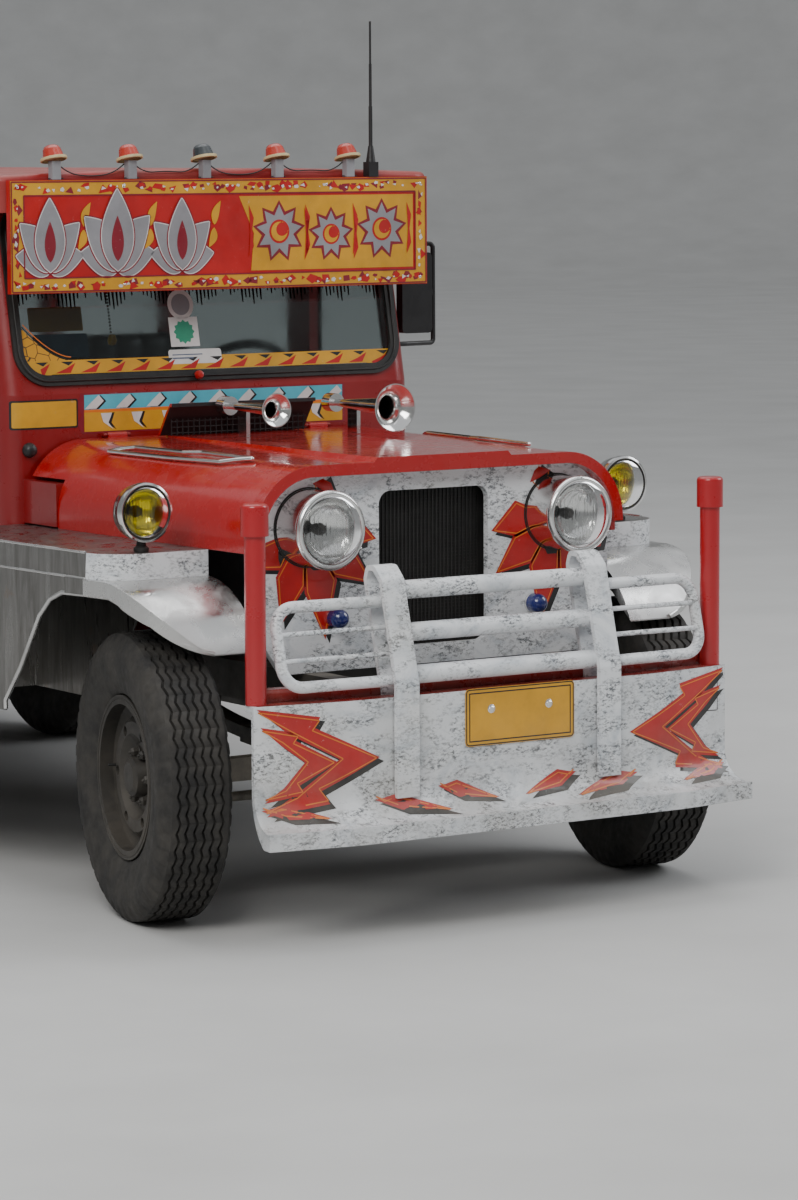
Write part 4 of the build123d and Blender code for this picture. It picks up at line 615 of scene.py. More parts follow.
def wheel_parts(side, front, word):
    """Wheel nuts, hub cap, valve and tyre, drawn in the wheel's own frame and then placed."""
    body = f"wheel_{word}"
    place = wheel_matrix(side, front)
    axis = (place.to_3x3() @ Vector((1, 0, 0))).normalized()
    nuts = []
    for u, v in circle(0.068, 6):
        spot = place @ Vector((0.026, u, v))
        nuts.append(dome_head(spot, axis, 0.0125, 0.020, hexagon=True))
        nuts.append(dome_head(spot, axis, 0.0175, 0.004, 12))
        nuts.append(dome_head(spot, axis, 0.0065, 0.027, 8))
    join_meshes(f"nuts_{body}", nuts, RIM_PAINT, body, False)
    cap = [(0.0, 0.0635), (0.030, 0.0635), (0.034, 0.061), (0.034, 0.0585), (0.037, 0.057)]
    lathe(f"hub_cap_{body}", cap, place @ Vector((0, 0, 0)), axis, RUSTY, body, 32)
    valve = [(0.034, 0.150, 0.012), (0.052, 0.146, 0.012), (0.068, 0.150, 0.012)]
    rod(f"valve_{body}", [place @ Vector(p) for p in valve], 0.0035, GASKET, body)
    ring = [place @ Vector((0.0782, u, v)) for u, v in circle(0.203, 72)]
    rod(f"rim_ring_{body}", ring, 0.0016, RIM_PAINT, body, closed=True)
    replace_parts(tyre(f"tread_{body}", side, place, body), f"tyre_{word}")


for side, word in SIDES:
    wheel_parts(side, True, f"front_{word}")
    wheel_parts(side, False, f"rear_{word}")


# Lamps

AHEAD = (0, -1, 0)
UPWARDS = (0, 0, 1)
# Where the lamps on the vehicle's left stand
HEADLAMP = (390, -170, 1006)
FOG_LAMP = (757, 40, 1050)
TURN_LAMP = (313, -170, 768)
# The lamps' parts as (radius, distance ahead), in metres
HEADLAMP_SHELL = ((0.0865, -0.055), (0.0865, 0.0), (0.0995, 0.0), (0.0965, 0.097))
HEADLAMP_RIM = ((0.0965, 0.096), (0.1015, 0.099), (0.1028, 0.104), (0.1026, 0.110), (0.1005, 0.116),
                (0.096, 0.1192), (0.092, 0.1195), (0.0888, 0.1175))
FOG_SHELL = ((0.0, -0.052), (0.020, -0.0518), (0.040, -0.0500), (0.052, -0.0475), (0.062, -0.040),
             (0.069, -0.029), (0.0718, -0.018), (0.074, 0.000), (0.0765, 0.004), (0.0770, 0.012),
             (0.0765, 0.022), (0.072, 0.0238), (0.068, 0.0225))
FOG_RIM = ((0.0695, 0.0232), (0.0705, 0.0238), (0.0692, 0.0245), (0.0672, 0.0232), (0.0660, 0.0205))
FOG_FOOT = ((0.0, 0.0015), (0.0198, 0.0015), (0.0198, 0.010), (0.013, 0.016), (0.011, 0.028))


def on_side(side, place):
    """A place on the vehicle's left, or its mirror image on the right."""
    return side * place[0], place[1], place[2]


def lamp_set(word, origin, r, reach, glass, shell, rim, rim_finish):
    """A shell, rim ring, bright dish, bulb and domed lens that face forwards."""
    made = lathe(f"{word}_shell", shell, origin, AHEAD, CHROME, steps=56)
    lathe(f"{word}_rim", rim, origin, AHEAD, rim_finish, steps=56)
    arc = [math.pi / 2 * k / 10 for k in range(11)]
    bowl = [(r * math.cos(t) * 0.98, reach - 0.062 * math.sin(t)) for t in arc]
    lathe(f"{word}_dish", bowl, origin, AHEAD, REFLECTOR, steps=56)
    bulb = ((0.0, 0.012), (0.012, 0.016), (0.018, 0.028), (0.016, 0.042), (0.012, 0.056))
    lathe(f"{word}_bulb", [(p, reach - d) for p, d in bulb], origin, AHEAD, RIM_PAINT, steps=24)
    dome = [(r * math.sin(t), reach + 0.001 + 0.013 * math.cos(t)) for t in arc]
    lathe(f"{word}_lens", dome, origin, AHEAD, glass, steps=56)
    return made


def fluted(name, x, s, z, r, reach, material):
    """Upright ribs moulded in the lens."""
    ribs = []
    count, steps = 15, 8
    for k in range(count):
        px = -r + 2 * r * (k + 0.5) / count
        h = math.sqrt(r * r - px * px) * 0.94
        verts, faces = [], []
        for j in range(steps + 1):
            pz = -h + 2 * h * j / steps
            d = reach + 13 * math.sqrt(max(1 - (px * px + pz * pz) / (r * r), 0)) - 2.2
            verts += [P(x + px + dx, s - d - dd, z + pz) for dx, dd in ((-1.6, 0), (0, 1.0), (1.6, 0))]
        for a in range(0, 3 * steps, 3):
            faces += [[a, a + 1, a + 4, a + 3], [a + 1, a + 2, a + 5, a + 4]]
        ribs.append((verts, faces))
    return join_meshes(name, ribs, material)


shells = []
for side, side_word in SIDES:
    word = f"headlamp_{side_word}"
    x, s, z = on_side(side, HEADLAMP)
    shells.append(lamp_set(word, P(x, s, z), 0.089, 0.1165, LENS, HEADLAMP_SHELL, HEADLAMP_RIM, CHROME_DARK))
    fluted(f"{word}_flutes", x, s, z, 86, 116.5, LENS)
    spots = [P(x + 99 * math.cos(a), s - 118, z + 99 * math.sin(a)) for a in (1.57, 3.67, 5.76)]
    heads(f"{word}_screws", spots, AHEAD, 0.0035, 0.0012, CHROME_DARK)
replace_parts(shells[0], "headlamps")

shells = []
for side, side_word in SIDES:
    word = f"fog_lamp_{side_word}"
    x, s, z = on_side(side, FOG_LAMP)
    shells.append(lamp_set(word, P(x, s, z), 0.066, 0.0205, YELLOW_LENS, FOG_SHELL, FOG_RIM, BLACK_PLASTIC))
    fluted(f"{word}_flutes", x, s, z, 62, 20.5, YELLOW_LENS)
    lathe(f"{word}_foot", FOG_FOOT, P(x, s + 6, 948), UPWARDS, CHASSIS, steps=24)
    rod(f"{word}_stem", [P(x, s + 6, 966), P(x, s + 6, 986)], 0.0095, CHASSIS)
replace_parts(shells[0], "fog_lamps")

bezel = ((0.0262, 0.001), (0.0262, 0.008), (0.0258, 0.010))
for side, word in SIDES:
    place = P(*on_side(side, TURN_LAMP))
    lathe(f"turn_lamp_bezel_{word}", bezel, place, AHEAD, CHROME_DARK, steps=32)

LAMP_PITCH = 238
LAMP_MID = -60
LAMP_STEPS = 40
ROOF_TOP = 1888.3
# The rings of a roof lamp's tray as (half width, half length, height)
LAMP_TRAY = ((30, 42, 0), (33.5, 46.5, 1), (33.9, 46.9, 5), (32.5, 45.5, 8.6), (27, 38, 8.8))


def stack(rings):
    """(verts, faces) of rings joined one above the other, with the last one closed."""
    verts = [v for ring in rings for v in ring]
    faces = []
    for start in range(0, len(verts) - LAMP_STEPS, LAMP_STEPS):
        for i in range(LAMP_STEPS):
            a, b = start + i, start + (i + 1) % LAMP_STEPS
            faces.append([a, b, b + LAMP_STEPS, a + LAMP_STEPS])
    faces.append(list(range(len(verts) - LAMP_STEPS, len(verts))))
    return verts, faces


def roof_lamp(k):
    """A wedge of ribbed lens on a tilted ring and a square post."""
    x = LAMP_MID + (k - 2) * LAMP_PITCH
    z = ROOF_TOP
    word = f"roof_lamp_{k}"
    post = bevelled(f"{word}_post", [box_mesh(x - 13.5, x + 13.5, 863, 889, z, z + 52)], D_GREY)
    tilt = Matrix.Translation(P(x, 880, z + 52)) @ Matrix.Rotation(math.radians(-12), 4, "X")

    def oval(a, b, h, shift=0.0):
        flat = circle(1, LAMP_STEPS)
        return [tilt @ Vector((a * u / 1000, (b * v + shift) / 1000, h / 1000)) for u, v in flat]

    sharpen(mesh_object(f"{word}_tray", *stack([oval(*row) for row in LAMP_TRAY]), CREAM))
    rows = [oval(26.5, 37.5, 8.2)]
    for i in range(9):
        t = i / 8
        a, b, h = 26.5 - 4 * t, 37.5 - 6.5 * t, 9 + 23 * t
        rows += [oval(a, b, h, 5 * t), oval(a - 0.9, b - 0.9, h + 1.2, 5 * t)]
    rows += [oval(19, 26, 39, 7), oval(13.5, 19.5, 43, 8.6), oval(6, 9, 43.8, 9)]
    sharpen(mesh_object(f"{word}_lens", *stack(rows), DARK_LENS if k == 2 else ORANGE_LENS), 50)
    bolts = [P(x - 20, 871, z + 2), P(x + 20, 871, z + 2)]
    heads(f"{word}_bolts", bolts, UPWARDS, 0.004, 0.003, CHASSIS, hexagon=True)
    return post


posts = [roof_lamp(k) for k in range(5)]
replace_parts(posts[0], "roof_lamps")
for k in range(4):
    x0 = LAMP_MID + (k - 2) * LAMP_PITCH + 16
    x1 = LAMP_MID + (k - 1) * LAMP_PITCH - 16
    wire = [P(x0, 884, 1930), P(x0 + 30, 887, 1905), P((x0 + x1) / 2, 888, 1896 + 14 * (k % 2)),
            P(x1 - 30, 887, 1904), P(x1, 884, 1930)]
    rod(f"lamp_wire_{k}", wire, 0.0018, BLACK_PLASTIC, smooth=True)

# The destination board: an enamelled field in a patterned border

SIGN = (-678.0, 678.0, 1582.0, 1886.0)
BORDER = 40.0
sign = tree_of("sign_board")
rng = random.Random(7)


def block(x0, x1, z0, z1):
    return [(x0, z0), (x1, z0), (x1, z1), (x0, z1)]


x0, x1, z0, z1 = SIGN
for word, strip in (("low", block(x0, x1, z0, z0 + BORDER)), ("high", block(x0, x1, z1 - BORDER, z1)),
                    ("right", block(x0, x0 + BORDER, z0 + BORDER, z1 - BORDER)),
                    ("left", block(x1 - BORDER, x1, z0 + BORDER, z1 - BORDER))):
    drape(f"sign_border_{word}", [strip], sign, 0.6, D_YELLOW, step=45)


def patches(strips, skipped, sizes):
    """Small angular patches at random along strips of (start, end, low edge, high edge, lies flat)."""
    shapes = []
    for a0, a1, b0, b1, flat in strips:
        count = int((a1 - a0) / 24)
        for k in range(count):
            if rng.random() < skipped:
                continue
            ca = a0 + (k + 0.5 + rng.uniform(-0.25, 0.25)) * (a1 - a0) / count
            cb = (b0 + b1) / 2 + rng.uniform(-8, 8)
            size = rng.uniform(*sizes)
            turn = rng.uniform(0, 6.28)
            corners = rng.choice((3, 4, 5))
            ring = []
            for i in range(corners):
                t = turn + 2 * math.pi * i / corners
                pa = ca + size * rng.uniform(0.8, 1.7) * math.cos(t)
                pb = min(max(cb + size * rng.uniform(0.6, 1.2) * math.sin(t), b0 + 1), b1 - 1)
                ring.append((pa, pb) if flat else (pb, pa))
            shapes.append(ring)
    return shapes


BORDER_STRIPS = ((x0 + 4, x1 - 4, z0, z0 + BORDER, True), (x0 + 4, x1 - 4, z1 - BORDER, z1, True),
                 (z0 + BORDER, z1 - BORDER, x0, x0 + BORDER, False),
                 (z0 + BORDER, z1 - BORDER, x1 - BORDER, x1, False))
for word, mat, lift, skipped, sizes in (("crimson", D_CRIMSON, 0.85, 0.42, (6, 15)),
                                        ("red", D_RED, 1.10, 0.42, (6, 15)),
                                        ("pale", D_WHITE, 1.35, 0.22, (3, 7))):
    drape(f"sign_patch_{word}", patches(BORDER_STRIPS, skipped, sizes), sign, lift, mat)
for word, line in (("outer", block(x0 + 3, x1 - 3, z0 + 3, z1 - 3)),
                   ("inner", block(x0 + BORDER, x1 - BORDER, z0 + BORDER, z1 - BORDER))):
    drape(f"sign_line_{word}", [ribbon(side, 4.0) for side in sides_of(line)], sign, 1.7, D_CRIMSON)


def star(cx, cz, r_out, r_in, points):
    """A star's outline, with one point straight up."""
    ring = []
    for k in range(2 * points):
        r = r_out if k % 2 == 0 else r_in
        t = math.pi * k / points
        ring.append((cx + r * math.sin(t), cz + r * math.cos(t)))
    return ring


def disc(cx, cz, r):
    return [(cx + u, cz + v) for u, v in circle(r, 28)]


def crescent(cx, cz, r, bite, turn):
    """A moon shape: an arc with a smaller arc taken from it."""
    n = 16
    outer = [(r * math.cos(t), r * math.sin(t))
             for t in (0.55 + (2 * math.pi - 1.1) * k / n for k in range(n + 1))]
    inner = [(bite + (r * 0.78) * math.cos(t), r * 0.70 * math.sin(t))
             for t in (0.75 + (2 * math.pi - 1.5) * (n - k) / n for k in range(n + 1))]
    c, s = math.cos(turn), math.sin(turn)
    return [(cx + x * c - z * s, cz + x * s + z * c) for x, z in outer + inner]


def grown(outline, amount):
    """The outline pushed outwards from its centre line by an even amount."""
    area = sum(a[0] * b[1] - b[0] * a[1] for a, b in sides_of(outline))
    shift = amount if area > 0 else -amount
    out = []
    for k, (x, z) in enumerate(outline):
        a, b = outline[k - 1], outline[(k + 1) % len(outline)]
        dx, dz = b[0] - a[0], b[1] - a[1]
        d = math.hypot(dx, dz) or 1.0
        out.append((x + dz / d * shift, z - dx / d * shift))
    return out


def leaf(cx, cz, length, width, angle, bend=0.0):
    """The outline of a pointed leaf that grows from a foot."""
    a = math.radians(angle)
    ux, uz = math.cos(a), math.sin(a)
    upper, lower = [], []
    n = 16
    for k in range(n + 1):
        t = k / n
        w = width * math.sin(math.pi * t ** 0.8) ** 0.9 / 2
        off = bend * math.sin(math.pi * t)
        for row, v in ((upper, off + w), (lower, off - w)):
            row.append((cx + ux * length * t - uz * v, cz + uz * length * t + ux * v))
    return upper + lower[::-1]


FIELD_X1, FIELD_Z0, FIELD_Z1 = x1 - BORDER - 2, z0 + BORDER + 2, z1 - BORDER - 2
field_mid = (FIELD_Z0 + FIELD_Z1) / 2
half = [(76, FIELD_Z0 + 6), (FIELD_X1 - 6, FIELD_Z0 + 6), (FIELD_X1 - 6, FIELD_Z1 - 6), (38, FIELD_Z1 - 6),
        (86, field_mid)]
drape("sign_half_yellow", [half], sign, 0.7, D_YELLOW, step=45)

# Flowers on the red field as (foot, height), and their petals from the back as (angle, share of height, bend)
FLOWERS = ((-560, 200), (-352, 224), (-148, 196))
PETALS = (((24, 0.56, 20), (156, 0.56, -20)), ((56, 0.80, 16), (124, 0.80, -16)), ((90, 1.0, 0),))
foot_z = FIELD_Z0 + 14
for layer, petals in enumerate(PETALS):
    whole = [leaf(x, foot_z, tall * share, 0.44 * tall, angle, bend)
             for x, tall in FLOWERS for angle, share, bend in petals]
    proud = 1.0 + 0.6 * layer
    drape(f"sign_flower_shadow_{layer}", [grown(o, 6) for o in whole], sign, proud, D_CRIMSON)
    drape(f"sign_flower_rim_{layer}", [grown(o, 2.6) for o in whole], sign, proud + 0.2, D_WHITE)
    drape(f"sign_flower_{layer}", whole, sign, proud + 0.4, D_GREY)
hearts = [leaf(x, foot_z + 26, tall * 0.56, 0.17 * tall, 90) for x, tall in FLOWERS]
drape("sign_flower_hearts", hearts, sign, 2.9, D_CRIMSON)
flames = [leaf(x + 104, foot_z + z, length, 24, angle, 6)
          for x, _ in FLOWERS for z, length, angle in ((122, 70, 72), (114, 58, 252))]
drape("sign_flames", flames, sign, 1.6, D_YELLOW)
suns = [(170, field_mid + 4, 76), (345, field_mid - 6, 66), (520, field_mid + 6, 76)]
drape("sign_suns_rim", [star(x, z, r + 12, r * 0.62 + 12, 9) for x, z, r in suns], sign, 1.0, D_CRIMSON)
drape("sign_suns", [star(x, z, r, r * 0.62, 9) for x, z, r in suns], sign, 1.3, D_GREY)
drape("sign_sun_discs", [disc(x, z, r * 0.44) for x, z, r in suns], sign, 1.6, D_RED)
drape("sign_sun_moons", [crescent(x, z, r * 0.36, r * 0.16, 0.6) for x, z, r in suns], sign, 1.9, D_YELLOW)
BLADE = ((-7, -72), (9, -40), (3, 0), (9, 40), (-7, 76), (-2, 0))
blades = [[(x + sx * (r + 18) + dx, z + dz) for dx, dz in BLADE] for x, z, r in suns for sx in (-1, 1)]
drape("sign_blades", blades, sign, 1.9, D_RED)
spots = [P(x, 870.4 - 14 * (1 - (x / 680) ** 2), z) for x in (-655, -330, 0, 330, 655) for z in (1600, 1868)]
heads("sign_screws", spots, AHEAD, 0.005, 0.0022, CHROME_DARK)


# Painted shapes on the grille panel and the bumper

panel = tree_of("grille_panel")
bumper = tree_of("front_bumper")


def kite(cx, cz, angle, near, far, width, lean=0.0):
    """A long pointed blade that leaves a centre at an angle in degrees."""
    a = math.radians(angle)
    ux, uz = math.cos(a), math.sin(a)
    vx, vz = -uz, ux
    mid = near + (far - near) * 0.34
    points = ((near, -width * 0.30), (mid, -width * 0.55), (far, lean), (mid + 6, width * 0.50),
              (near, width * 0.34))
    return [(cx + ux * d + vx * w, cz + uz * d + vz * w) for d, w in points]


def painted(word, shapes, surface, step=30):
    """Each shape with a black shadow behind it and a thin orange line inside its edge."""
    shadow = [[(x + 13, z - 11) for x, z in o] for o in shapes]
    drape(f"{word}_shadow", shadow, surface, 0.6, D_BLACK, step)
    drape(f"{word}_red", shapes, surface, 1.0, D_RED, step)
    lines = [ribbon(side, 3.0) for o in shapes for side in sides_of(grown(o, -9)) if math.dist(*side) > 6]
    drape(f"{word}_line", lines, surface, 1.4, D_ORANGE, step)


# Rays about each headlamp as (angle, reach, width, lean)
RAYS = ((186, 212, 92, 18), (222, 250, 92, -16), (257, 296, 98, 16), (292, 262, 90, -14), (328, 205, 84, 12),
        (118, 150, 70, -14))
left_rays = [kite(HEADLAMP[0], HEADLAMP[2], a, 84, reach, w, lean) for a, reach, w, lean in RAYS]
painted("panel_left", left_rays, panel)
painted("panel_right", [mirrored(o) for o in left_rays], panel)
for side, word in SIDES:
    ring = ((0.1003, 0.0008), (0.1038, 0.0008), (0.1038, 0.0024), (0.1003, 0.0024))
    lathe(f"lamp_ring_{word}", ring, P(*on_side(side, HEADLAMP)), AHEAD, GASKET, steps=56)

# Chevrons on each end of the bumper as (nose x, nose z, reach, rise, fall, width), and darts along its foot
CHEVRONS = ((390, 452, 338, 142, 126, 78), (514, 450, 204, 98, 92, 58))
DARTS = ((410, 350, 196, 308, 38), (214, 368, 40, 322, 42), (722, 344, 548, 314, 34))


def chevron(x, z, reach, rise, fall, width):
    """An arrow that points at the middle, with its two ends cut to points."""
    upper = ((0, 0), (0.55, 0.62), (0.50, 0.80), (1, 1), (0.74, 0.52))
    lower = ((0.70, 0.62), (0.96, 1), (0.44, 0.84), (0.50, 0.58))
    return ([(x + reach * a, z + rise * b) for a, b in upper] + [(x + width * 1.5, z + 4)]
            + [(x + reach * a, z - fall * b) for a, b in lower])


def dart(x0, z0, x1, z1, width):
    """A long thin triangle with a notched tail."""
    dx, dz = x1 - x0, z1 - z0
    d = math.hypot(dx, dz)
    return [(x0 + dx * t - dz / d * width * v, z0 + dz * t + dx / d * width * v)
            for t, v in ((0, 0.1), (0.34, 0.5), (1, 0), (0.30, -0.5), (0.12, -0.1))]


left_shapes = [chevron(*row) for row in CHEVRONS] + [dart(*row) for row in DARTS]
painted("bumper_left", left_shapes, bumper, step=14)
painted("bumper_right", [mirrored(o) for o in left_shapes], bumper, step=14)


def bumper_front(x):
    """The station of the bumper's front, which sweeps back at its ends."""
    return -500 + 40 * max(0.0, abs(x) - 470) / 265


flange = ribbon([(x, bumper_front(x) + 27) for x in range(-720, 721, 30)], 50)
drape("bumper_flange_red", [flange], bumper, 0.6, RED, step=60, from_top=True)
verts = []
for x in range(-700, 701, 20):
    s = bumper_front(x) + 57
    verts += [P(x, s, 600.4), P(x, s + 3, 632), P(x, s + 24, 634)]
faces = [[a + j, a + j + 1, a + j + 4, a + j + 3] for a in range(0, len(verts) - 3, 3) for j in (0, 1)]
riser = mesh_object("bumper_riser", verts, faces, RED)
riser.modifiers.new("thickness", "SOLIDIFY").thickness = 0.0015
sharpen(riser)
seams = [ribbon([(604, 486), (736, 480)], 2.2), ribbon([(706, 482), (705, 598)], 2.0)]
drape("bumper_seam", seams, bumper, 0.6, GASKET)

# Blank plate on its two bolts

PLATE = (-130, 210, 455, 603)
PLATE_FACE = -502.6


def rounded(x0, x1, z0, z1, r, n=5):
    """A rectangle's outline with round corners."""
    ring = []
    left, right, low, high = x0 + r, x1 - r, z0 + r, z1 - r
    for cx, cz, a0 in ((right, high, 0), (left, high, 90), (left, low, 180), (right, low, 270)):
        for k in range(n + 1):
            a = math.radians(a0 + 90 * k / n)
            ring.append((cx + r * math.cos(a), cz + r * math.sin(a)))
    return ring


def slab(outline, s_front, thick, lean=0.0):
    """(verts, faces) of a flat plate that faces forwards, from its outline in (x, z)."""
    foot = outline[0][1]
    verts = [P(x, s + lean * (z - foot), z) for s in (s_front, s_front + thick) for x, z in outline]
    n = len(outline)
    faces = [list(range(n - 1, -1, -1)), list(range(n, 2 * n))]
    faces += [[k, (k + 1) % n, n + (k + 1) % n, n + k] for k in range(n)]
    return verts, faces


def frame_line(name, outer, inset, width):
    """A thin line painted on the plate, inside an outline."""
    n = len(outer)
    verts = [P(x, PLATE_FACE - 0.3, z) for x, z in grown(outer, -inset) + grown(outer, -inset - width)]
    faces = [[k, n + k, n + (k + 1) % n, (k + 1) % n] for k in range(n)]
    mesh_object(name, verts, faces, D_BLACK)


outline = rounded(*PLATE, 12)
sharpen(mesh_object("number_plate", *slab(outline, PLATE_FACE, 2.0), PLATE_YELLOW), 30)
frame_line("plate_edge", outline, 1.5, 3.0)
frame_line("plate_line", outline, 11, 3.2)
heads("plate_bolts", [P(x, PLATE_FACE, 548) for x in (-50, 130)], AHEAD, 0.0085, 0.005, CHROME_DARK, True)
heads("plate_washers", [P(x, PLATE_FACE + 0.2, 548) for x in (-50, 130)], AHEAD, 0.012, 0.0015, CHROME_DARK)

# Windscreen: painted band, blank boards behind the glass, stickers, fringe and chain

pane = tree_of("windscreen_glass")
cowl_tree = tree_of("cowl")
BAND_LOW, BAND_HIGH = 1354.0, 1392.0
band = [(-598, BAND_LOW + 16), (-576, BAND_LOW), (576, BAND_LOW), (598, BAND_LOW + 16), (598, BAND_HIGH),
        (-598, BAND_HIGH)]
drape("glass_band", [band], pane, 0.5, D_YELLOW, step=60)
teeth, chips = [], []
for x in range(-560, 561, 80):
    teeth.append([(x + dx, z) for dx, z in ((-26, BAND_LOW + 3), (22, BAND_LOW + 3), (40, BAND_HIGH - 8),
                                            (8, BAND_LOW + 15))])
    chips.append([(x - 6, BAND_HIGH - 4), (x + 34, BAND_HIGH - 4), (x + 18, BAND_HIGH - 15)])
drape("glass_band_teeth", teeth, pane, 0.8, D_RED)
drape("glass_band_chips", chips, pane, 0.8, D_BLACK)
scales = Graph("scale_yellow", rough=0.4, coat=0.3)
cracks = scales.fit(scales.cells(34, "DISTANCE_TO_EDGE"), 0.02, 0.05, 1.0, 0.0)
scales.color(scales.mix(cracks, (0.62, 0.30, 0.015), (0.03, 0.02, 0.015)))
scales.bump(scales.noise(90, 3, 0.5), 0.15, 0.0008)
edge = [(-598 + 140 * t, BAND_HIGH + 92 * (1 - t) ** 1.7) for t in (k / 14 for k in range(15))]
drape("glass_corner", [[(-598, BAND_HIGH)] + edge], pane, 0.6, scales.mat, step=20)
for word, gap, mat in (("inner", 3, D_BLACK), ("outer", 10, D_ORANGE)):
    arc = ribbon([(x + gap * 0.6, z + gap * 0.8) for x, z in edge], 2.6)
    drape(f"glass_corner_arc_{word}", [arc], pane, 1.1, mat)
for word, outlines, lift, mat in (("round", [disc(-83, 1535, 42)], 0.6, D_WHITE),
                                  ("round_core", [disc(-83, 1535, 30)], 0.9, D_GREY),
                                  ("square", [block(-128, -34, 1418, 1500)], 0.6, D_WHITE),
                                  ("seal", [star(-81, 1459, 34, 28, 12)], 0.9, D_GREEN),
                                  ("label", [rounded(-140, 32, 1370, 1410, 8)], 0.7, D_WHITE),
                                  ("label_line", [block(-128, -60, 1384, 1388), block(-128, -30, 1394, 1397)],
                                   1.0, CARD_BLUE)):
    drape(f"sticker_{word}", outlines, pane, lift, mat)

SCREEN_LEAN = math.radians(12)


def screen_s(z, behind):
    """The station at a distance behind the leaning windscreen's face."""
    return 930 + (z - 1300) * math.tan(SCREEN_LEAN) + behind


def screen_point(x, z, behind):
    return P(x, screen_s(z, behind), z)


def strand(x, z, drop, top, foot, behind):
    """A hanging strip as (verts, faces), from its left and right edges at the top and at the foot."""
    verts = [screen_point(x + top[0], z, behind), screen_point(x + top[1], z, behind),
             screen_point(x + foot[1], z - drop, 14), screen_point(x + foot[0], z - drop, 14)]
    return verts, [[0, 1, 2, 3]]


for word, corners, mat in (("upper", (-560, -392, 1470, 1536), CARD_ORANGE),
                           ("lower", (-552, -382, 1398, 1462), CARD_BLUE)):
    outline = rounded(*corners, 5)
    board = slab(outline, screen_s(outline[0][1], 22), 3, math.tan(SCREEN_LEAN))
    mesh_object(f"route_board_{word}", *board, mat, "body", False)
strips = []
for k in range(118):
    x = -590 + 10 * k + rng.uniform(-2, 2)
    strips.append(strand(x, 1798, rng.uniform(34, 48), (-3, 3), (-1.5, 2.5), 14))
join_meshes("glass_fringe", strips, GASKET, "body", False)
strips = []
for k in range(96):
    drop = 84 + 16 * math.cos(k * math.pi / 6) + rng.uniform(-14, 14)
    strips.append(strand(-588 + 12.4 * k, 1640, drop, (-6.4, 6.4), (-2, 2), 12))
join_meshes("glass_valance", strips, GASKET, "body", False)
rod("valance_rod", [screen_point(-590, 1642, 12), screen_point(590, 1642, 12)], 0.004, BLACK_PLASTIC)

# A chain of beads with a charm behind the glass, and a small knob below it

CHAIN_X = -300
beads = [dome_head(screen_point(CHAIN_X, z, 32), (0, way, 0), 0.0036, 0.004, 8)
         for z in range(1598, 1454, -9) for way in (-1, 1)]
join_meshes("hanging_chain", beads, CHROME_DARK)
charm = ((0.0, 0.0), (0.010, 0.004), (0.014, 0.016), (0.009, 0.030), (0.0, 0.034))
lathe("hanging_charm", charm, P(CHAIN_X, screen_s(1430, 32), 1424), UPWARDS, D_YELLOW, steps=20)
knob = ((0.0125, 0.0), (0.0125, 0.010), (0.009, 0.016), (0.0, 0.018))
lathe("washer_knob", knob, screen_point(-57, 1338, -10), (0, -1, 0.2), D_RED, steps=20)

# Gasket: a filler strip round its middle

line = []
for cx, cz, a0 in ((532, 1732, 0), (-532, 1732, 90), (-532, 1420, 180), (532, 1420, 270)):
    for k in range(9):
        a = math.radians(a0 + 90 * k / 8)
        line.append(screen_point(cx + 85 * math.cos(a), cz + 85 * math.sin(a) * math.cos(SCREEN_LEAN), -9.8))
rod("gasket_filler", line, 0.0035, GASKET, closed=True)

# Cowl: blank boards and panels in sign colours

drape("cowl_board_edge", [rounded(-650, -444, 1206, 1286, 6)], cowl_tree, 0.6, D_BLACK, step=8)
drape("cowl_board", [rounded(-645, -449, 1211, 1281, 4)], cowl_tree, 1.0, D_YELLOW, step=8)
band = [(-432, 1188), (-446, 1214), (-432, 1240), (-448, 1268), (-434, 1299), (432, 1299), (432, 1188)]
drape("cowl_band_edge", [band], cowl_tree, 0.5, D_CRIMSON)
for word, low, high, mat in (("low", 1193, 1246, D_YELLOW), ("line", 1246, 1254, D_ORANGE),
                             ("high", 1254, 1295, D_CYAN)):
    drape(f"cowl_band_{word}", [block(-424, 424, low, high)], cowl_tree, 0.8, mat)
# One tooth of the band's high row and of its low row, with their shadows, as (across, height)
HIGH_TOOTH = ((-30, 1256), (6, 1256), (30, 1277), (14, 1294), (-8, 1276))
HIGH_SHADE = ((-18, 1255), (14, 1255), (38, 1276), (18, 1295), (22, 1278))
LOW_TOOTH = ((20, 1243), (56, 1243), (44, 1216), (60, 1197), (28, 1218))
LOW_SHADE = ((30, 1241), (64, 1244), (54, 1216), (70, 1196), (42, 1212))


def toothed(tooth, count):
    """A row of the same tooth along the cowl."""
    return [[(-392 + 98 * k + dx, z) for dx, z in tooth] for k in range(count)]


drape("cowl_shade", toothed(HIGH_SHADE, 8) + toothed(LOW_SHADE, 8), cowl_tree, 1.1, D_BLACK)
drape("cowl_teeth", toothed(HIGH_TOOTH, 9) + toothed(LOW_TOOTH, 8), cowl_tree, 1.4, D_WHITE)
knob = ((0.020, 0.0), (0.021, 0.006), (0.017, 0.018), (0.010, 0.024), (0.0, 0.025))
lathe("cowl_knob", knob, P(-600, 929.6, 1150), AHEAD, BLACK_PLASTIC, steps=28)

# Hood: painted shade, black plastic on the vent flap's faces that look forward or down, where its mouth lies
# in shade; and a mesh across it


def repaint(name, finishes, choose):
    """Gives some faces of a CAD piece another finish: choose says which, from 1, or 0 for its own."""
    mesh = nodes[name].data
    for finish in finishes:
        mesh.materials.append(finish)
    for poly in mesh.polygons:
        poly.material_index = choose(poly) or poly.material_index
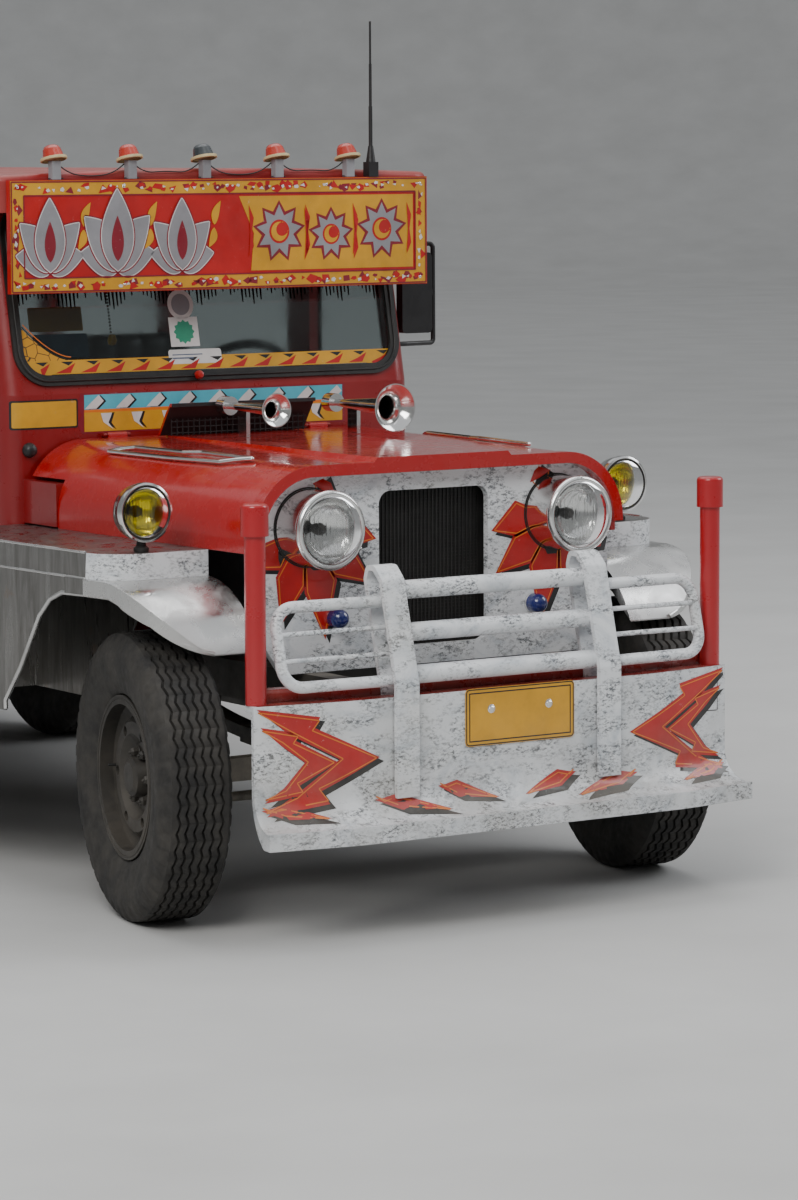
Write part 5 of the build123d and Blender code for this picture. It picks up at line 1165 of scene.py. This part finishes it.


# Painted shade: the flap's faces that look forward or down are made black, for the shade under it and in its
# mouth
repaint("hood_vent", [BLACK_PLASTIC], lambda poly: int(poly.normal.y < -0.3 or poly.normal.z < -0.3))
bars = [box_mesh(x, x + 3, 800, 803, 1180.6, 1226) for x in range(-222, 211, 18)]
bars += [box_mesh(-222, 222, 801, 803, z, z + 3) for z in (1186, 1202, 1218)]
bevelled("vent_mesh_screen", bars, BLACK_PLASTIC, 0.0005, "hood")

# Fenders: the nose's brighter sheet, a rolled edge round each arch, a lapped seam and a bead


def fender_finish(poly):
    """1 for the low front face, 2 for the painted upper front, 0 for the rest."""
    s = poly.center.y * 1000 - FRONT_AXLE_Y
    z = poly.center.z * 1000
    if z < 880.2 and s < 110.2:
        return 1
    return 2 if z > 880 and s < 112 and abs(poly.normal.z) < 0.5 else 0


repaint("fenders", [STEEL_BRIGHT, MARBLE], fender_finish)


def fender_x(s):
    """The box fender's outer side, which widens to the rear."""
    return 880 + 45 * s / 929.7


# The arch's edge from the rear to the start of the nose as (station, height), and the nose's plan radius
ARCH_EDGE = ((516, 504), (516, 528), (437, 622), (340, 766), (285, 815), (225, 837), (112, 840), (0, 841),
             (-45, 830.5))
NOSE_R = 200
for side, word in SIDES:
    edge = [P(side * (fender_x(s) - 2), s, z) for s, z in ARCH_EDGE]
    for k in range(1, 9):
        s = -45 - 24.6 * k
        out = 880 - NOSE_R + math.sqrt(NOSE_R ** 2 - (s + 45) ** 2)
        z = 830.5 + (s + 45) * 0.42 if s > -160 else 782 + (s + 160) * 0.86
        edge.append(P(side * (out - 2), s, z))
    rod(f"arch_roll_{word}", edge, 0.0065, STEEL_BRIGHT)
    for kind, inset, z, radius in (("seam", -0.2, 881, 0.0036), ("bead", 2, 948, 0.004)):
        line = [P(side * (fender_x(s) - inset), s, z) for s in (112, 400, 700, 926)]
        rod(f"fender_{kind}_{word}", line, radius, STEEL_BRIGHT)

# Body sides: trims over the seams, window rubbers and rows of rivets

WINDOWS = ((1960, 2690), (2770, 3500), (3580, 4310), (4390, 4980))
WINDOW_LOW, WINDOW_HIGH, WINDOW_R = 1225, 1705, 60
SIDE_X = 920
REAR_S = 5101
for side, word in SIDES:
    x0, x1 = sorted((side * (SIDE_X - 0.5), side * (SIDE_X + 6)))
    bars = [box_mesh(x0, x1, 1884, 5058, 1186, 1206), box_mesh(x0, x1, 1882, 1900, 520, 1860),
            box_mesh(x0, x1, 1440, 1880, 520, 534)]
    bevelled(f"body_trims_{word}", bars, STEEL_BRIGHT, 0.0025)
    for s0, s1 in WINDOWS:
        edge = rounded(s0, s1, WINDOW_LOW, WINDOW_HIGH, WINDOW_R, 6)
        ring = [P(side * (SIDE_X + 0.5), s, z) for s, z in edge]
        rod(f"window_rubber_{word}_{s0}", ring, 0.0075, GASKET, closed=True)
    spots = [P(side * (SIDE_X + 6), s, 1196) for s in range(1930, 5050, 120)]
    spots += [P(side * (SIDE_X + 6), 1891, z) for z in range(560, 1850, 110)]
    heads(f"trim_rivets_{word}", spots, (side, 0, 0), 0.0042, 0.002, CHROME_DARK)
    spots = [P(side * SIDE_X, s, z) for z in (545, 1150) for s in range(1930, 5050, 90)
             if abs(s - WHEELBASE) > 452 or z > 900]
    heads(f"panel_rivets_{word}", spots, (side, 0, 0), 0.004, 0.0018, RED_DARK)
    arch = []
    for k in range(25):
        a = math.radians(-16 + 212 * k / 24)
        s, z = WHEELBASE + 440 * math.cos(a), TYRE_R * 1000 + 440 * math.sin(a)
        if z > 505:
            arch.append(P(side * (SIDE_X + 1), s, z))
    rod(f"rear_arch_roll_{word}", arch, 0.008, STEEL_BRIGHT)
    entry = [P(side * (SIDE_X + 1), s, z) for s, z in ((1829, 1733), (1829, 692), (1430, 692))]
    rod(f"door_trim_{word}", entry, 0.006, GASKET)
    mid = side * 742.5
    glass = slab(rounded(mid - 46, mid + 46, 1436, 1659, 12), 1045.6, 1.6)
    sharpen(mesh_object(f"mirror_glass_{word}", *glass, MIRROR), 30)
    ring = [P(x, 1046.5, z) for x, z in rounded(mid - 48, mid + 48, 1434, 1661, 13)]
    rod(f"mirror_rim_{word}", ring, 0.0035, BLACK_PLASTIC, closed=True)
    x0, x1 = sorted((side * 730, side * 900))
    treads = [box_mesh(x0, x1, s, s + 8, 399, 402) for s in range(1040, 1860, 30)]
    bevelled(f"board_treads_{word}", treads, CHASSIS, 0.001)

# Rear: lamp lenses, step treads and the entry's rubber

for side, word in SIDES:
    for k, (a, b, mat) in enumerate(((512, 552, RED_LENS), (552, 592, ORANGE_LENS), (592, 628, D_WHITE))):
        x0, x1 = sorted((side * a, side * b))
        lens = box_mesh(x0 + 1, x1 - 1, 5133, 5139, 990, 1050)
        bevelled(f"tail_lens_{word}_{k}", [lens], mat, 0.003)
treads = [box_mesh(-600, 600, s, s + 8, 418, 421) for s in range(5150, 5340, 26)]
bevelled("rear_step_treads", treads, CHASSIS, 0.001)
entry = [P(x, REAR_S, z) for x, z in ((-361, 666), (-361, 1788), (361, 1788), (361, 666))]
rod("entry_rubber", entry, 0.008, GASKET)
for side, word in SIDES:
    edge = rounded(side * 640 - 170, side * 640 + 170, WINDOW_LOW, WINDOW_HIGH, WINDOW_R, 6)
    ring = [P(x, REAR_S, z) for x, z in edge]
    rod(f"rear_window_rubber_{word}", ring, 0.0075, GASKET, closed=True)

# Radiator: tubes and fins behind the inlet

tubes = [box_mesh(x, x + 4, -124, -120.4, 662, 1084) for x in range(-168, 169, 12)]
fins = [box_mesh(-170, 170, -121.8, -120.4, z, z + 2) for z in range(668, 1074, 9)]
join_meshes("radiator_tubes", tubes, CHASSIS, "body", False)
join_meshes("radiator_fins", fins, CHASSIS, "body", False)

# Seats: pleated vinyl over foam


def cushion(name, lows, highs, style, pleated):
    """A rounded block with stitched channels across one face, given as its axis and the way it faces."""
    r, pleat, lane_axis, material = style
    lanes = round((highs[lane_axis] - lows[lane_axis]) / pleat)
    counts = [max(4, round((b - a) / 18)) for a, b in zip(lows, highs)]
    counts[lane_axis] = lanes * 8
    face_axis, way = pleated
    middle = (lows[face_axis] + highs[face_axis]) / 2
    verts, faces, seen = [], [], {}

    def vertex(index):
        """The number of the vertex at a place on the grid, made when it is first asked for."""
        if index in seen:
            return seen[index]
        p = [lows[a] + (highs[a] - lows[a]) * index[a] / counts[a] for a in range(3)]
        core = [min(max(p[a], lows[a] + r), highs[a] - r) for a in range(3)]
        d = [p[a] - core[a] for a in range(3)]
        q = [core[a] + d[a] * r / math.hypot(*d) for a in range(3)]
        if way * (q[face_axis] - middle) > 0:
            seam = math.sin(math.pi * (index[lane_axis] % 8) / 8) ** 0.5
            q[face_axis] -= way * 7 * (1 - seam)
        seen[index] = len(verts)
        verts.append(P(*q))
        return seen[index]

    for axis in range(3):
        u, v = [a for a in range(3) if a != axis]
        for end in (0, counts[axis]):
            for a in range(counts[u]):
                for b in range(counts[v]):
                    quad = []
                    for da, db in ((0, 0), (1, 0), (1, 1), (0, 1)):
                        index = [end, end, end]
                        index[u] = a + da
                        index[v] = b + db
                        quad.append(vertex(tuple(index)))
                    flip = (end == 0) != (axis == 1)
                    faces.append(quad[::-1] if flip else quad)
    obj = mesh_object(name, verts, faces, material)
    return obj


# The two kinds of upholstery as (corner radius, distance between seams, axis along the row of seams, finish)
BENCH = (22, 106, 1, VINYL)
CAB_SEAT = (30, 94, 0, VINYL_DARK)
parts = []
for side, word in SIDES:
    x0, x1 = sorted((side * 460, side * 797))
    parts.append(cushion(f"bench_seat_{word}", (x0, 2334, 1000.4), (x1, 4986, 1070.4), BENCH, (2, 1)))
    x0, x1 = sorted((side * 807, side * 881))
    parts.append(cushion(f"bench_back_{word}", (x0, 2334, 1000.4), (x1, 4986, 1210), BENCH, (0, -side)))
    for x in (462, 795):
        piping = [P(side * x, s, 1058) for s in (2352, 3000, 4000, 4968)]
        rod(f"bench_piping_{word}_{x}", piping, 0.004, D_YELLOW)
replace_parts(parts[0], "bench_cushions")
parts = []
for word, a, b in (("driver", 134, 606), ("passenger", -646, -134)):
    parts.append(cushion(f"{word}_seat", (a, 1630, 900.4), (b, 2050, 1010), CAB_SEAT, (2, 1)))
    parts.append(cushion(f"{word}_back", (a + 10, 2060.4, 700), (b - 10, 2152, 1400), CAB_SEAT, (1, -1)))
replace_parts(parts[0], "front_seats")

# Inside of the roof, and the steering wheel's pad

repaint("roof", [GREY_INSIDE], lambda poly: int(poly.normal.z < -0.4 and poly.center.z > 1.84))
wheel_tilt = math.radians(38)
pad = ((0.0385, -0.012), (0.0385, 0.004), (0.030, 0.0115), (0.0, 0.0135))
lathe("horn_pad", pad, P(370, 1480, 1235), (0, math.cos(wheel_tilt), math.sin(wheel_tilt)), BLACK_PLASTIC,
      "steering_wheel", 40)


# Camera, from the photograph's vanishing points and the front track

YAW = math.radians(33.5)
PITCH = math.atan2(455, 4200)
PLACE = (-6.105, -11.601, 1.978)
ROLL = 0.005
forward = Vector((math.sin(YAW) * math.cos(PITCH), math.cos(YAW) * math.cos(PITCH), -math.sin(PITCH)))
right = Vector((math.cos(YAW), -math.sin(YAW), 0))
up = right.cross(forward)
right, up = right * math.cos(ROLL) - up * math.sin(ROLL), up * math.cos(ROLL) + right * math.sin(ROLL)
camera_data = bpy.data.cameras.new("photo_camera")
camera_data.sensor_fit = "VERTICAL"
camera_data.sensor_height = 36.0
camera_data.lens = 126.0
camera_data.clip_end = 200
camera = bpy.data.objects.new("photo_camera", camera_data)
bpy.context.scene.collection.objects.link(camera)
camera.matrix_world = Matrix((
    (right.x, up.x, -forward.x, PLACE[0]),
    (right.y, up.y, -forward.y, PLACE[1]),
    (right.z, up.z, -forward.z, PLACE[2]),
    (0, 0, 0, 1)))
bpy.context.scene.camera = camera

# Light: an overcast sky that brightens above the horizon, and three large soft lamps

world = bpy.data.worlds.new("studio_sky")
world.use_nodes = True
wt = world.node_tree
sky = wt.nodes["Background"]
sky.inputs["Strength"].default_value = 0.62
coord = wt.nodes.new("ShaderNodeTexCoord")
split = wt.nodes.new("ShaderNodeSeparateXYZ")
ramp = wt.nodes.new("ShaderNodeValToRGB")
wt.links.new(coord.outputs["Generated"], split.inputs[0])
wt.links.new(split.outputs["Z"], ramp.inputs["Fac"])
wt.links.new(ramp.outputs["Color"], sky.inputs["Color"])
ramp.color_ramp.elements[0].position = 0.0
ramp.color_ramp.elements[0].color = (0.30, 0.29, 0.28, 1)
ramp.color_ramp.elements[1].position = 0.5
ramp.color_ramp.elements[1].color = (1.0, 1.02, 1.05, 1)
for spot, tint in ((0.03, (0.16, 0.15, 0.14, 1)), (0.09, (0.42, 0.41, 0.40, 1)),
                   (0.20, (0.75, 0.77, 0.80, 1))):
    ramp.color_ramp.elements.new(spot).color = tint
bpy.context.scene.world = world


def area_light(name, place, target, size, power, tint=(1, 1, 1)):
    data = bpy.data.lights.new(name, "AREA")
    data.shape = "RECTANGLE"
    data.size = size[0]
    data.size_y = size[1]
    data.energy = power
    data.color = tint
    obj = bpy.data.objects.new(name, data)
    bpy.context.scene.collection.objects.link(obj)
    obj.location = place
    obj.rotation_euler = (Vector(target) - Vector(place)).to_track_quat("-Z", "Y").to_euler()
    return obj


area_light("key_light", (-7.5, -8.0, 8.0), (0, -1.5, 0.8), (6, 5), 760, (1, 0.985, 0.96))
area_light("side_light", (8.0, -5.0, 6.0), (0, -1.5, 0.9), (5, 5), 330, (0.95, 0.97, 1))
area_light("top_light", (0, 1.0, 9.0), (0, 0.5, 0), (9, 9), 380)

# The floor is a wide dish that rises behind as one smooth wall, as (radius, height) in metres
RING = 96
dish = [(0.01, 0), (12, 0), (30, 0), (46, 0)]
dish += [(46 + 16 * math.sin(a), 16 - 16 * math.cos(a)) for a in (math.pi / 2 * k / 10 for k in range(1, 11))]
dish.append((62, 34))
floor_mesh = bpy.data.meshes.new("studio_floor")
floor_verts = [(u, v, z) for r, z in dish for u, v in circle(r, RING)]
floor_faces = [[j + k, j + (k + 1) % RING, j + RING + (k + 1) % RING, j + RING + k]
               for j in range(0, RING * (len(dish) - 1), RING) for k in range(RING)]
floor_mesh.from_pydata(floor_verts, [], floor_faces)
floor_mesh.shade_smooth()
floor_obj = bpy.data.objects.new("studio_floor", floor_mesh)
bpy.context.scene.collection.objects.link(floor_obj)
fg = Graph("pale_floor", rough=0.75)
fg.color(fg.mix(fg.fit(fg.noise(1.4, 4), 0.3, 0.7), (0.50, 0.50, 0.49), (0.56, 0.56, 0.55)))
fg.bump(fg.noise(120, 3), 0.1, 0.001)
floor_mesh.materials.append(fg.mat)
